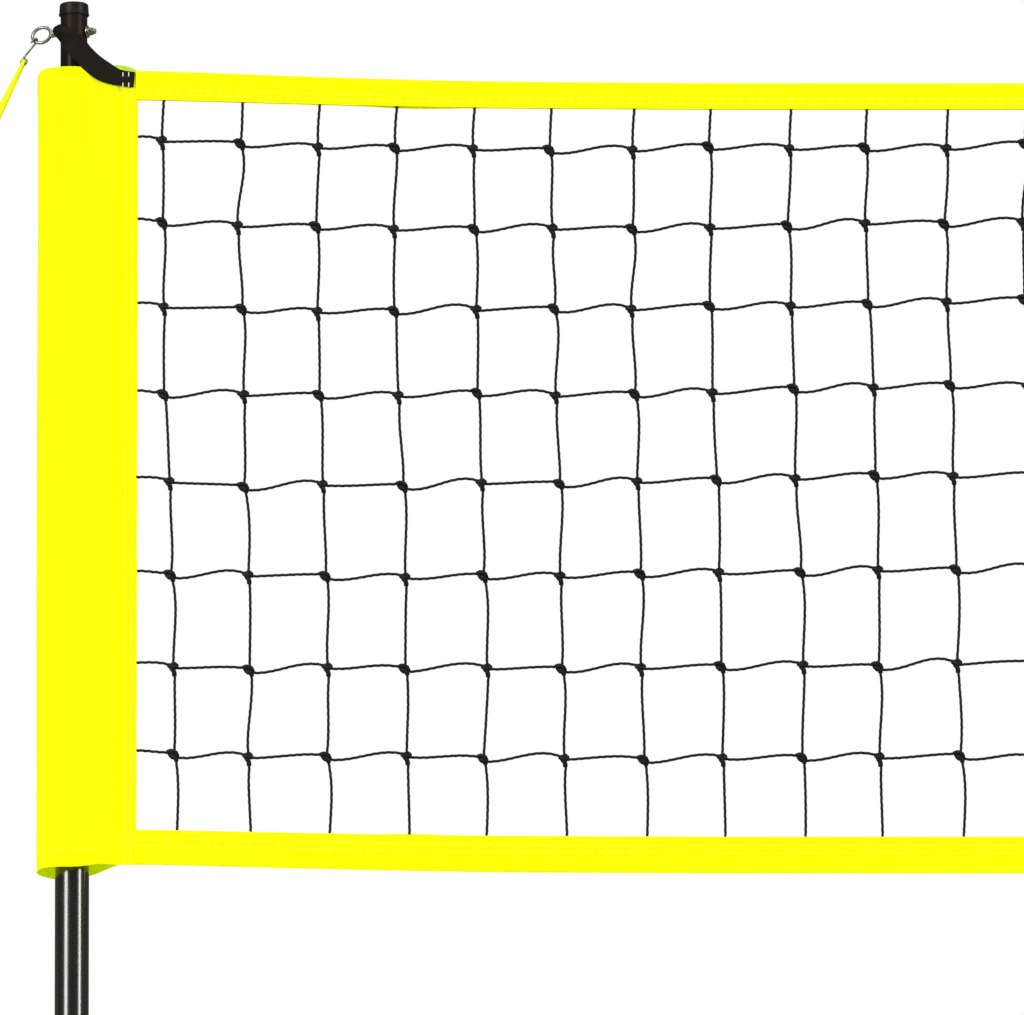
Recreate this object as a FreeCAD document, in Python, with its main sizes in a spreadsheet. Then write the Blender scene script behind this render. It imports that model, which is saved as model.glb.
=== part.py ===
import FreeCAD, Part

import math
import os

import Sketcher

# A volleyball net on two telescopic poles. Millimetres, +Z up, X along the net, the origin on the ground
# midway between the poles. The net's front faces -Y.

LEFT, RIGHT = -1, 1
SIDES = {"left": LEFT, "right": RIGHT}

SIZES = {
    # the net and its bands
    "net_span": 9750.0,
    "net_depth": 914.0,
    "net_top": 2430.0,
    "top_tape_depth": 33.0,
    "bottom_tape_depth": 38.0,
    "tape_wall": 1.2,
    "twine": 2.8,
    "tape_slot_gap": 0.3,
    "hem_gap": 0.3,
    "pole_setback": 39.5,
    "band_width": 111.0,
    "band_wall": 1.5,
    "band_round": 30.0,
    "band_belly_round": 24.6,
    "band_belly_back": 6.0,
    "band_fold_start": 8.0,
    "band_fold_depth": 3.0,
    "band_seam_half": 2.0,
    "band_seam_width": 18.0,
    "band_corner_depth": 120.0,
    "band_corner_round": 19.5,
    "band_corner_shift": 0.5,
    # the telescopic poles
    "lower_outer": 38.0,
    "upper_outer": 30.0,
    "tube_wall": 1.2,
    "lower_top": 850.0,
    "spigot_length": 80.0,
    "spigot_gap": 0.1,
    "spigot_flare": 12.0,
    "lock_below_net": 790.0,
    "tube_overlap": 320.0,
    "foot_floor": 4.0,
    "foot_depth": 38.0,
    "foot_wall": 2.4,
    "foot_chamfer": 1.5,
    "cap_above_net": 80.0,
    "cap_depth": 18.0,
    "cap_roof": 3.0,
    "cap_wall": 1.9,
    "cap_taper": 1.0,
    "cap_rounding": 2.5,
    "seat_gap": 0.05,
    # the height lock inside the side band
    "running_gap": 0.3,
    "bush_depth": 50.0,
    "bush_flange": 3.0,
    "bush_collet": 17.0,
    "bush_collet_draw": 1.0,
    "bush_slit": 2.0,
    "bush_slits": 4,
    "guide_depth": 40.0,
    "guide_lip": 4.0,
    "guide_lip_width": 1.0,
    "collar_wall": 3.2,
    "collar_skirt": 28.0,
    "collar_ribs": 12,
    "collar_rib": 1.5,
    "collar_roof": 4.0,
    # the bolt, the strap and the hook at the pole's top
    "bolt_above_net": 44.9,
    "bolt_turn": 18.0,
    "bolt_outer": 6.0,
    "bolt_nut_end": 30.0,
    "eye_wire": 4.8,
    "eye_middle": 20.4,
    "eye_reach": 38.0,
    "eye_tilt": 22.5,
    "bolt_shoulder": 13.0,
    "bolt_shoulder_length": 2.0,
    "bolt_hole_gap": 0.25,
    "washer_outer": 14.0,
    "washer_thick": 1.6,
    "nut_hub": 9.6,
    "nut_hub_end": 8.4,
    "nut_length": 9.0,
    "nut_wing_span": 22.0,
    "nut_wing_thick": 2.2,
    "nut_gap": 0.05,
    "nut_wing_root": 7.4,
    "strap_width": 20.0,
    "strap_thick": 1.8,
    "strap_drop": 52.9,
    "strap_end": 67.5,
    "strap_slope_start": -12.0,
    "strap_slope_end": 45.0,
    "strap_gap": 0.3,
    "hook_wire": 2.4,
    "hook_slope": 48.5,
    "hook_shank": 22.0,
    "hook_tail": 4.0,
    "hook_eye": 8.6,
    "hook_eye_turn": 300.0,
    # the guy ropes, their tensioners, rings and stakes
    "rope": 4.0,
    "rope_gap": 0.3,
    "rope_fold_gap": 0.6,
    "stake_out": 1190.0,
    "stake_fore_aft": 700.0,
    "rope_return": 700.0,
    "knot": 9.0,
    "ring_wire": 4.0,
    "ring_inner": 16.0,
    "ring_height": 30.0,
    "stake": 8.0,
    "stake_length": 300.0,
    "stake_tip": 22.0,
    "stake_point": 1.2,
    "stake_head": 22.0,
    "stake_head_thick": 5.0,
    "stake_head_chamfer": 1.7,
    "tensioner_length": 32.0,
    "tensioner_thick": 11.0,
    "tensioner_side": 4.5,
    "tensioner_waist": 2.0,
    "tensioner_rounding": 2.0,
    "tensioner_along": 340.0,
    # the net's openings, each about two real meshes wide and high
    "mesh_columns": 58,
    "mesh_rows": 5,
}

doc = FreeCAD.newDocument("VolleyballNet")
sheet = doc.addObject("Spreadsheet::Sheet", "Sizes")
for row, (alias, number) in enumerate(SIZES.items(), start=1):
    sheet.set("A%d" % row, alias)
    sheet.set("B%d" % row, str(number))
    sheet.setAlias("B%d" % row, alias)
doc.recompute()


class Size:
    """A length from the sheet, or worked out from some: its number, and the expression that keeps it true."""

    def __init__(self, number, text):
        self.number = number
        self.text = text

    def combined(self, other, sign, number):
        other_text = other.text if isinstance(other, Size) else repr(float(other))
        return Size(number, "(%s %s %s)" % (self.text, sign, other_text))

    def __add__(self, other):
        return self.combined(other, "+", self.number + plain(other))

    def __sub__(self, other):
        return self.combined(other, "-", self.number - plain(other))

    def __mul__(self, other):
        return self.combined(other, "*", self.number * plain(other))

    def __truediv__(self, other):
        return self.combined(other, "/", self.number / plain(other))


def plain(value):
    return value.number if isinstance(value, Size) else float(value)


def size(alias):
    return Size(float(sheet.get(alias)), "Sizes." + alias)


def number(alias):
    return plain(size(alias))


def bind(item, path, value):
    """Set a property from a size, and keep it bound to the sheet."""
    item.setExpression(path, value.text if isinstance(value, Size) else repr(float(value)))


NOTHING = size("net_top") * 0.0
net_top = size("net_top")
net_bottom = net_top - size("net_depth")
middle_top = net_top - size("lock_below_net")
pole_x = size("net_span") / 2 - size("pole_setback")
upper_radius = size("upper_outer") / 2
lower_radius = size("lower_outer") / 2
lower_bore = lower_radius - size("tube_wall")
cap_top = net_top + size("cap_above_net")
bolt_z = net_top + size("bolt_above_net")
guide_bottom = middle_top - size("tube_overlap")
upper_foot = guide_bottom + size("guide_lip")

nodes = []


def finished(item, label, x=None, y=None, z=None):
    """Name a finished sub-part and put it in its place."""
    item.Label = label
    for path, value in (("x", x), ("y", y), ("z", z)):
        if value is not None:
            bind(item, "Placement.Base." + path, value)
    nodes.append(item)
    return item


def turned(item, axis, angle):
    item.Placement = FreeCAD.Placement(FreeCAD.Vector(), FreeCAD.Rotation(FreeCAD.Vector(*axis), angle))


def origin_part(body, role):
    """A body's own base plane or axis."""
    return next(part for part in body.Origin.OriginFeatures if part.Role == role)


def outline(body, name, points, role="XZ_Plane"):
    """A closed sketch of straight lines whose corners are all held by sizes from the sheet."""
    sketch = body.newObject("Sketcher::SketchObject", name)
    sketch.AttachmentSupport = (origin_part(body, role), [""])
    sketch.MapMode = "FlatFace"
    corners = [FreeCAD.Vector(plain(a), plain(b), 0) for a, b in points]
    count = len(corners)
    for i in range(count):
        sketch.addGeometry(Part.LineSegment(corners[i], corners[(i + 1) % count]), False)
    for i in range(count):
        sketch.addConstraint(Sketcher.Constraint("Coincident", i, 2, (i + 1) % count, 1))
    for i, (a, b) in enumerate(points):
        for kind, value in (("DistanceX", a), ("DistanceY", b)):
            at = sketch.addConstraint(Sketcher.Constraint(kind, -1, 1, i, 1, plain(value)))
            bind(sketch, "Constraints[%d]" % at, value)
    return sketch


def revolved(name, points):
    """A body turned about its upright axis from an outline of (radius, height) corners."""
    body = doc.addObject("PartDesign::Body", name)
    sketch = outline(body, name + "_profile", points)
    turn = body.newObject("PartDesign::Revolution", name + "_turned")
    turn.Profile = (sketch, [""])
    turn.ReferenceAxis = (sketch, ["V_Axis"])
    turn.Angle = 360
    return body


def cylinder(name, radius, length):
    item = doc.addObject("Part::Cylinder", name)
    bind(item, "Radius", radius)
    bind(item, "Height", length)
    return item


def joined(name, kind, items):
    item = doc.addObject(kind, name)
    if kind == "Part::Cut":
        item.Base, item.Tool = items
    elif kind == "Part::Compound":
        item.Links = items
    else:
        item.Shapes = items
    return item


# The poles, built once for each side

def foot_cap(name, x):
    """A cup of rubber on the pole's foot: the tube stands on its floor."""
    bore = lower_radius + size("seat_gap")
    outer = bore + size("foot_wall")
    body = revolved(name, [
        (NOTHING, NOTHING),
        (outer - size("foot_chamfer"), NOTHING),
        (outer, size("foot_chamfer")),
        (outer, size("foot_depth") - size("foot_chamfer")),
        (outer - size("foot_chamfer"), size("foot_depth")),
        (bore, size("foot_depth")),
        (bore, size("foot_floor")),
        (NOTHING, size("foot_floor")),
    ])
    return finished(body, name, x=x)


def lower_tube(name, x):
    body = revolved(name, [
        (lower_bore, size("foot_floor")),
        (lower_radius, size("foot_floor")),
        (lower_radius, size("lower_top")),
        (lower_bore, size("lower_top")),
    ])
    return finished(body, name, x=x)


def middle_tube(name, x):
    """The middle tube is drawn in at its foot to a spigot that stands in the lower tube."""
    spigot = lower_bore - size("spigot_gap")
    foot = size("lower_top") - size("spigot_length")
    body = revolved(name, [
        (spigot - size("tube_wall"), foot),
        (spigot, foot),
        (spigot, size("lower_top")),
        (lower_radius, size("lower_top")),
        (lower_radius, middle_top),
        (lower_bore, middle_top),
        (lower_bore, size("lower_top") + size("spigot_flare")),
        (spigot - size("tube_wall"), size("lower_top")),
    ])
    return finished(body, name, x=x)


def lock_bush(name, x):
    """A plastic bush in the middle tube's mouth. Its flange sits on the tube, and its collet is slit."""
    top = middle_top
    bore = upper_radius + size("running_gap")
    collet_top = top + size("bush_flange") + size("bush_collet")
    collet = lower_bore - size("seat_gap")
    body = revolved(name, [
        (bore, top - size("bush_depth")),
        (lower_bore - size("seat_gap"), top - size("bush_depth")),
        (lower_bore - size("seat_gap"), top),
        (lower_radius, top),
        (lower_radius, top + size("bush_flange")),
        (collet, top + size("bush_flange")),
        (collet - size("bush_collet_draw"), collet_top),
        (bore, collet_top),
    ])
    half = size("bush_slit") / 2
    low, high = top + size("bush_flange"), collet_top + size("bush_flange")
    slit = outline(body, name + "_slit", [
        (half * -1, low),
        (half, low),
        (half, high),
        (half * -1, high),
    ])
    cut = body.newObject("PartDesign::Pocket", name + "_slits")
    cut.Profile = (slit, [""])
    bind(cut, "Length", lower_radius)
    pattern = body.newObject("PartDesign::PolarPattern", name + "_slit_pattern")
    pattern.Originals = [cut]
    pattern.Axis = (origin_part(body, "Z_Axis"), [""])
    pattern.Angle = 360
    bind(pattern, "Occurrences", size("bush_slits"))
    body.Tip = pattern
    return finished(body, name, x=x)


def twist_collar(name, x):
    """The ribbed collar round the bush: a quarter turn presses its cone on the slit collet."""
    top = middle_top
    bore = lower_radius + size("running_gap")
    outer = bore + size("collar_wall")
    flange_top = top + size("bush_flange") + size("running_gap")
    collet_foot = lower_bore + size("running_gap") * 2
    roof = top + size("bush_flange") + size("bush_collet") + size("running_gap")
    throat = upper_radius + size("running_gap") * 2
    bottom = top - size("collar_skirt")
    body = revolved(name, [
        (bore, bottom),
        (outer, bottom),
        (outer, roof + size("collar_roof") / 2),
        (outer - size("collar_roof") / 2, roof + size("collar_roof")),
        (throat, roof + size("collar_roof")),
        (throat, roof),
        (collet_foot - size("bush_collet_draw"), roof),
        (collet_foot, flange_top),
        (bore, flange_top),
    ])
    rib = body.newObject("Sketcher::SketchObject", name + "_rib")
    rib.AttachmentSupport = (origin_part(body, "XY_Plane"), [""])
    rib.MapMode = "FlatFace"
    centre = FreeCAD.Vector(plain(outer), 0, 0)
    rib.addGeometry(Part.Circle(centre, FreeCAD.Vector(0, 0, 1), number("collar_rib")), False)
    radius = rib.addConstraint(Sketcher.Constraint("Radius", 0, number("collar_rib")))
    bind(rib, "Constraints[%d]" % radius, size("collar_rib"))
    along = rib.addConstraint(Sketcher.Constraint("DistanceX", -1, 1, 0, 3, plain(outer)))
    bind(rib, "Constraints[%d]" % along, outer)
    rib.addConstraint(Sketcher.Constraint("PointOnObject", 0, 3, -1))
    bind(rib, "AttachmentOffset.Base.z", bottom + size("collar_rib"))
    grip = body.newObject("PartDesign::Pad", name + "_grip")
    grip.Profile = (rib, [""])
    bind(grip, "Length", roof - bottom - size("collar_rib"))
    pattern = body.newObject("PartDesign::PolarPattern", name + "_ribs")
    pattern.Originals = [grip]
    pattern.Axis = (origin_part(body, "Z_Axis"), [""])
    pattern.Angle = 360
    bind(pattern, "Occurrences", size("collar_ribs"))
    body.Tip = pattern
    return finished(body, name, x=x)


def tube_guide(name, x):
    """A plastic ring on the upper tube's foot that runs in the middle tube."""
    outer = lower_bore - size("running_gap")
    bore = upper_radius + size("seat_gap")
    lip = upper_radius - size("tube_wall") - size("guide_lip_width")
    body = revolved(name, [
        (lip, guide_bottom),
        (outer, guide_bottom),
        (outer, guide_bottom + size("guide_depth")),
        (bore, guide_bottom + size("guide_depth")),
        (bore, upper_foot),
        (lip, upper_foot),
    ])
    return finished(body, name, x=x)


def bolt_hole(name, radius):
    """A long cylinder along the bolt, for cutting its hole."""
    drill = cylinder(name, radius, size("eye_reach") * 2)
    drill.Placement.Rotation = FreeCAD.Rotation(FreeCAD.Vector(0, 1, 0), 90)
    bind(drill, "Placement.Base.x", size("eye_reach") * -1)
    return drill


def bolt_turn(side):
    """The bolt's own X axis points from its eye to its nut, towards the net and the front."""
    turn = number("bolt_turn")
    return -turn if side == LEFT else turn - 180.0


def upper_tube(name, x, side):
    """The sliding tube, drilled across near its top for the eye bolt."""
    length = cap_top - size("cap_roof") - upper_foot
    skin = cylinder(name + "_skin", upper_radius, length)
    bore = cylinder(name + "_bore", upper_radius - size("tube_wall"), length)
    for item in (skin, bore):
        bind(item, "Placement.Base.z", upper_foot)
    wall = joined(name + "_wall", "Part::Cut", (skin, bore))
    drill = bolt_hole(name + "_drill", size("bolt_outer") / 2 + size("bolt_hole_gap"))
    turned_drill = joined(name + "_drill_turned", "Part::Compound", [drill])
    turned(turned_drill, (0, 0, 1), bolt_turn(side))
    bind(turned_drill, "Placement.Base.z", bolt_z)
    tube = joined(name, "Part::Cut", (wall, turned_drill))
    return finished(tube, name, x=x)


def top_cap(name, x):
    """A low domed cap, a little wider at its mouth than at its crown."""
    bore = upper_radius + size("seat_gap")
    mouth = bore + size("cap_wall")
    crown = mouth - size("cap_taper")
    roof = cap_top - size("cap_roof")
    body = revolved(name, [
        (bore, cap_top - size("cap_depth")),
        (mouth, cap_top - size("cap_depth")),
        (crown, cap_top),
        (NOTHING, cap_top),
        (NOTHING, roof),
        (bore, roof),
    ])
    doc.recompute()
    solid = body.Tip
    rim = [
        "Edge%d" % (i + 1)
        for i, edge in enumerate(solid.Shape.Edges)
        if abs(edge.BoundBox.ZMin - plain(cap_top)) < 1e-6 and abs(edge.BoundBox.ZMax - plain(cap_top)) < 1e-6
    ]
    rounded = body.newObject("PartDesign::Fillet", name + "_rounded")
    rounded.Base = (solid, rim)
    bind(rounded, "Radius", size("cap_rounding"))
    body.Tip = rounded
    return finished(body, name, x=x)


# The eye bolt and what is on it, along the bolt's own X axis, with the pole's axis at zero

def along_bolt(item, start):
    """Lay an upright item along the bolt with its foot at start."""
    item.Placement.Rotation = FreeCAD.Rotation(FreeCAD.Vector(0, 1, 0), 90)
    bind(item, "Placement.Base.x", start)
    return item


def at_bolt(item, side):
    """Turn an item made along the bolt about the pole's axis, and lift it to the bolt's height."""
    turned(item, (0, 0, 1), bolt_turn(side))
    bind(item, "Placement.Base.x", pole_x * side)
    bind(item, "Placement.Base.z", bolt_z)
    return item


def eye_bolt(name, side):
    """A bolt whose one end is a closed eye, with a flared shoulder that bears on the strap."""
    eye = doc.addObject("Part::Torus", name + "_eye")
    bind(eye, "Radius1", size("eye_middle") / 2)
    bind(eye, "Radius2", size("eye_wire") / 2)
    eye.Placement.Rotation = FreeCAD.Rotation(FreeCAD.Vector(1, 0, 0), 90 + side * number("eye_tilt"))
    bind(eye, "Placement.Base.x", size("eye_reach") * -1)
    neck = size("eye_reach") * -1 + size("eye_middle") / 2
    shank = cylinder(name + "_shank", size("bolt_outer") / 2, size("bolt_nut_end") - neck)
    along_bolt(shank, neck)
    seat = (upper_radius + size("strap_gap") * 2 + size("strap_thick")) * -1
    shoulder = doc.addObject("Part::Cone", name + "_shoulder")
    bind(shoulder, "Radius1", size("bolt_outer") / 2)
    bind(shoulder, "Radius2", size("bolt_shoulder") / 2)
    bind(shoulder, "Height", size("bolt_shoulder_length") * 2)
    along_bolt(shoulder, seat - size("bolt_shoulder_length") * 2)
    whole = joined(name, "Part::MultiFuse", [eye, shank, shoulder])
    return at_bolt(whole, side)


washer_seat = upper_radius + size("strap_gap")
nut_seat = washer_seat + size("washer_thick") + size("nut_gap")

# Where the wing's corners lie: along the bolt as shares of the nut's length, across it as shares of half the
# wings' span
WING_FOOT, WING_ELBOW, WING_BACK, WING_NECK, WING_TIP = 0.2, 0.45, 0.7, 0.8, 1.15
WING_TIP_INNER, WING_ELBOW_OUT = 0.66, 0.8


def washer(name, side):
    disc = cylinder(name + "_disc", size("washer_outer") / 2, size("washer_thick"))
    hole = cylinder(name + "_hole", size("bolt_outer") / 2 + size("nut_gap"), size("washer_thick"))
    for item in (disc, hole):
        along_bolt(item, washer_seat)
    return at_bolt(joined(name, "Part::Cut", (disc, hole)), side)


def wing_nut(name, side):
    """A wing nut: a tapered hub with two wings that rise from it and lean outwards."""
    hub = doc.addObject("Part::Cone", name + "_hub")
    bind(hub, "Radius1", size("nut_hub") / 2)
    bind(hub, "Radius2", size("nut_hub_end") / 2)
    bind(hub, "Height", size("nut_length"))
    along_bolt(hub, nut_seat)
    wings = doc.addObject("PartDesign::Body", name + "_wings")
    half, root = size("nut_wing_span") / 2, size("nut_wing_root") / 2
    foot, elbow, back, neck, tip = (
        nut_seat + size("nut_length") * share
        for share in (WING_FOOT, WING_ELBOW, WING_BACK, WING_NECK, WING_TIP)
    )
    profile = outline(wings, name + "_wing", [
        (foot, root * -1),
        (foot, root),
        (elbow, half * WING_ELBOW_OUT),
        (back, half),
        (tip, half),
        (tip, half * WING_TIP_INNER),
        (neck, root),
        (neck, root * -1),
        (tip, half * -WING_TIP_INNER),
        (tip, half * -1),
        (back, half * -1),
        (elbow, half * -WING_ELBOW_OUT),
    ], "XY_Plane")
    plate = wings.newObject("PartDesign::Pad", name + "_plate")
    plate.Profile = (profile, [""])
    bind(plate, "Length", size("nut_wing_thick"))
    plate.Midplane = True
    solid = joined(name + "_solid", "Part::MultiFuse", [hub, wings])
    drill = bolt_hole(name + "_bore", size("bolt_outer") / 2 + size("nut_gap"))
    nut = at_bolt(joined(name, "Part::Cut", (solid, drill)), side)
    return finished(nut, name)


# Plain geometry for the forms that follow the pole's plan: the side band and the strap

def hull_outline(circles, half, far, z):
    """The wire round two circles on the X axis and a flat tail, all in one plan: a teardrop.

    Each circle is (x, radius), from the left. The tail runs from the near point at half thickness to far.
    """
    (ax, ar), (bx, br) = circles
    tail_x = far[0]

    def tangent(x0, r0, x1, r1):
        """The touching points of the upper line over two circles on the X axis."""
        lean = math.asin((r0 - r1) / (x1 - x0))
        out = (math.sin(lean), math.cos(lean))
        return (x0 + r0 * out[0], r0 * out[1]), (x1 + r1 * out[0], r1 * out[1])

    a_top, b_left = tangent(ax, ar, bx, br)
    reach = math.hypot(tail_x - bx, half)
    lean = math.asin(br / reach) - math.asin(half / reach)
    b_right = (bx + br * math.sin(lean), br * math.cos(lean))
    middle = (math.atan2(b_left[1], b_left[0] - bx) + math.atan2(b_right[1], b_right[0] - bx)) / 2
    b_mid = (bx + br * math.cos(middle), br * math.sin(middle))

    def up(p, sign=1):
        return FreeCAD.Vector(p[0], sign * p[1], z)

    tail, end = (tail_x, half), (far[1], half)
    edges = [
        Part.LineSegment(up(end, -1), up(end)),
        Part.LineSegment(up(end), up(tail)),
        Part.LineSegment(up(tail), up(b_right)),
        Part.Arc(up(b_right), up(b_mid), up(b_left)),
        Part.LineSegment(up(b_left), up(a_top)),
        Part.Arc(up(a_top), FreeCAD.Vector(ax - ar, 0, z), up(a_top, -1)),
        Part.LineSegment(up(a_top, -1), up(b_left, -1)),
        Part.Arc(up(b_left, -1), up(b_mid, -1), up(b_right, -1)),
        Part.LineSegment(up(b_right, -1), up(tail, -1)),
        Part.LineSegment(up(tail, -1), up(end, -1)),
    ]
    return Part.Wire([edge.toShape() for edge in edges])


def band_shape():
    """The sleeve of fabric round the pole: a teardrop tube that the strap draws in at its top corner."""
    left = -number("pole_setback")
    right = left + number("band_width")
    seam = right - number("band_seam_width")
    wall, half = number("band_wall"), number("band_seam_half")
    neck = number("upper_outer") / 2 + number("running_gap") + wall
    round_, belly, corner = number("band_round"), number("band_belly_round"), number("band_corner_round")
    low, high = plain(net_bottom), plain(net_top)
    back = (left + round_, round_)
    front = ((left + round_ + seam) / 2 - number("band_belly_back"), belly)
    sections = [
        (low, back, front),
        (high - number("band_corner_depth"), back, front),
        (high, (left + corner, corner), (number("band_corner_shift"), neck)),
    ]
    fold = seam - number("band_fold_start")
    fold_end = fold + number("band_fold_depth")
    outer, inner = [], []
    for (z, a, b), past in zip(sections, (-wall, 0.0, wall)):
        outer.append(hull_outline((a, b), half, (seam, right), z))
        thin = ((a[0], a[1] - wall), (b[0], b[1] - wall))
        inner.append(hull_outline(thin, number("strap_gap"), (fold, fold_end), z + past))
    skin = Part.makeLoft(outer, True, True)
    hollow = Part.makeLoft(inner, True, True)
    return skin.cut(hollow)


def strap_shape():
    """A loop of webbing round the pole. In plan it is a teardrop, and its height falls towards the net."""
    thick, half = number("strap_thick"), number("band_seam_half") + number("strap_gap")
    pole = number("upper_outer") / 2 + number("strap_gap")
    loop = pole + number("band_wall") + number("strap_gap") / 2
    shift = loop - pole
    flat = -number("pole_setback") + number("band_width") - number("band_seam_width")
    end = number("strap_end")
    spare = 3 * number("strap_width")
    low, high = plain(net_top) - spare, plain(bolt_z) + spare

    def prism(grow, far):
        """The loop's plan, grown all round and ended at far, as a tall block."""
        start = flat + grow
        reach = math.hypot(start - shift, half + grow)
        lean = math.asin((loop + grow) / reach) - math.asin((half + grow) / reach)
        r = loop + grow
        touch = (shift + r * math.sin(lean), r * math.cos(lean))
        tail = half + grow
        spots = [(touch[0], -touch[1]), (start, -tail), (far, -tail), (far, tail), (start, tail), touch]
        corners = [FreeCAD.Vector(x, y, low) for x, y in spots]
        plan = [Part.Arc(corners[-1], FreeCAD.Vector(shift - r, 0, low), corners[0])]
        plan += [Part.LineSegment(a, b) for a, b in zip(corners[:-1], corners[1:])]
        wire = Part.Wire([edge.toShape() for edge in plan])
        return Part.Face(wire).extrude(FreeCAD.Vector(0, 0, high - low))

    ring = prism(thick, end).cut(prism(0.0, end + spare))
    top, wide = plain(bolt_z), number("strap_width") / 2
    x0, x1, drop = number("strap_slope_start"), number("strap_slope_end"), number("strap_drop")
    lean = math.atan2(drop, x1 - x0)
    steep = wide * math.tan(lean / 2)
    side_view = [
        (-spare, top + wide),
        (x0 + steep, top + wide),
        (x1 + steep, top - drop + wide),
        (end + spare, top - drop + wide),
        (end + spare, top - drop - wide),
        (x1 - steep, top - drop - wide),
        (x0 - steep, top - wide),
        (-spare, top - wide),
    ]
    wire = Part.makePolygon([FreeCAD.Vector(x, -spare, z) for x, z in side_view + side_view[:1]])
    band = Part.Face(wire).extrude(FreeCAD.Vector(0, 2 * spare, 0))
    hole = number("bolt_outer") / 2 + number("bolt_hole_gap")
    drill = Part.makeCylinder(hole, spare, FreeCAD.Vector(0, 0, top), bolt_axis() * -1)
    return ring.common(band).cut(drill)


def bolt_axis():
    """The direction from the pole's axis to the nut, on the left pole."""
    turn = math.radians(number("bolt_turn"))
    return FreeCAD.Vector(math.cos(turn), -math.sin(turn), 0)


def mirrored(shape, side):
    if side == LEFT:
        return shape
    return shape.mirror(FreeCAD.Vector(0, 0, 0), FreeCAD.Vector(1, 0, 0))


def feature(name, shape, x=0.0):
    item = doc.addObject("Part::Feature", name)
    item.Shape = shape
    item.Placement = FreeCAD.Placement(FreeCAD.Vector(x, 0, 0), FreeCAD.Rotation())
    return item


# The hook, the guy rope and what is on it, worked out for the left pole with its axis at zero

def hook_frame():
    """The middle of the eye's wire that the hook hangs on, the way it is pulled, and the way across it.

    The eye is tilted, its top to the back. The hook has slid to the place where the eye's wire runs square
    to the pull.
    """
    axis = bolt_axis()
    rise = FreeCAD.Vector(0, 0, 1)
    slope, tilt = math.radians(number("hook_slope")), math.radians(number("eye_tilt"))
    pull = axis * -math.cos(slope) - rise * math.sin(slope)
    through = rise.cross(axis) * math.cos(tilt) - rise * math.sin(tilt)
    reached = (pull - through * pull.dot(through)).normalize()
    eye_middle = axis * -number("eye_reach") + rise * plain(bolt_z)
    hung = eye_middle + reached * (number("eye_middle") / 2)
    across = pull.cross(through.cross(reached)).normalize()
    return hung, pull, across


def pipe(edges, radius):
    """A round wire or rope swept along straight runs and tangent arcs."""
    path = Part.Wire([edge.toShape() for edge in edges])
    first = path.Edges[0]
    start = first.valueAt(first.FirstParameter)
    along = first.tangentAt(first.FirstParameter)
    ring = Part.Wire([Part.Circle(start, along, radius).toShape()])
    solid = path.makePipeShell([ring], True, False)
    print("  length %.1f, volume over section times length %.4f"
          % (path.Length, solid.Volume / (math.pi * radius**2 * path.Length)))
    return solid


def hook_eye():
    """The two ends of the hook's shank, the middle of the eye below it, and the way from shank to middle."""
    hung, pull, across = hook_frame()
    turn = number("eye_wire") / 2 + number("hook_wire") / 2 + number("rope_gap")
    near = hung + across * turn
    shank_end = near + pull * number("hook_shank")
    up = pull.cross(across)
    return near, shank_end, shank_end + up * (number("hook_eye") / 2), up


def hook_shape():
    """A wire bent over the eye bolt's ring: a short tail on one side, a shank and an eye on the other."""
    hung, pull, across = hook_frame()
    near, shank_end, middle, up = hook_eye()
    turn, eye = (near - hung).Length, number("hook_eye") / 2
    far = hung - across * turn

    def round_eye(angle):
        a = math.radians(angle)
        return middle - up * (eye * math.cos(a)) + pull * (eye * math.sin(a))

    eye_end = number("hook_eye_turn")
    edges = [
        Part.LineSegment(far + pull * number("hook_tail"), far),
        Part.Arc(far, hung - pull * turn, near),
        Part.LineSegment(near, shank_end),
        Part.Arc(shank_end, round_eye(eye_end / 2), round_eye(eye_end)),
    ]
    return pipe(edges, number("hook_wire") / 2)


def rope_lines():
    """Where the rope's two legs would meet, their feet and directions, the direction between them, half the
    angle between them, and the radius of the fold.

    The rope bears on the point of the hook's eye that lies furthest along the pull. The wire crosses the
    plane of the two legs aslant there, so the fold round it is wider than the wire by that slant.
    """
    _, _, across = hook_frame()
    _, _, middle, _ = hook_eye()
    out = number("stake_out")
    low = number("ring_height")
    feet = [FreeCAD.Vector(-out, y * number("stake_fore_aft"), low) for y in (-1, 1)]
    apex = FreeCAD.Vector(middle)
    for _ in range(12):
        ways = [(foot - apex).normalize() for foot in feet]
        mean = (ways[0] + ways[1]).normalize()
        half = ways[0].getAngle(ways[1]) / 2
        in_eye = (mean - across * mean.dot(across)).normalize()
        slant = abs(across.cross(in_eye).dot(ways[0].cross(ways[1]).normalize()))
        bearing = (number("rope") / 2 + number("hook_wire") / 2 + number("rope_fold_gap")) / slant
        seat = middle + in_eye * (number("hook_eye") / 2)
        apex = seat - mean * (bearing / math.sin(half))
    return apex, feet, ways, mean, half, bearing


def leg_frame(way):
    """Across the leg in its upright plane, pointing up and outwards."""
    side_way = way.cross(FreeCAD.Vector(0, 0, 1)).normalize()
    return side_way.cross(way).normalize()


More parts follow.
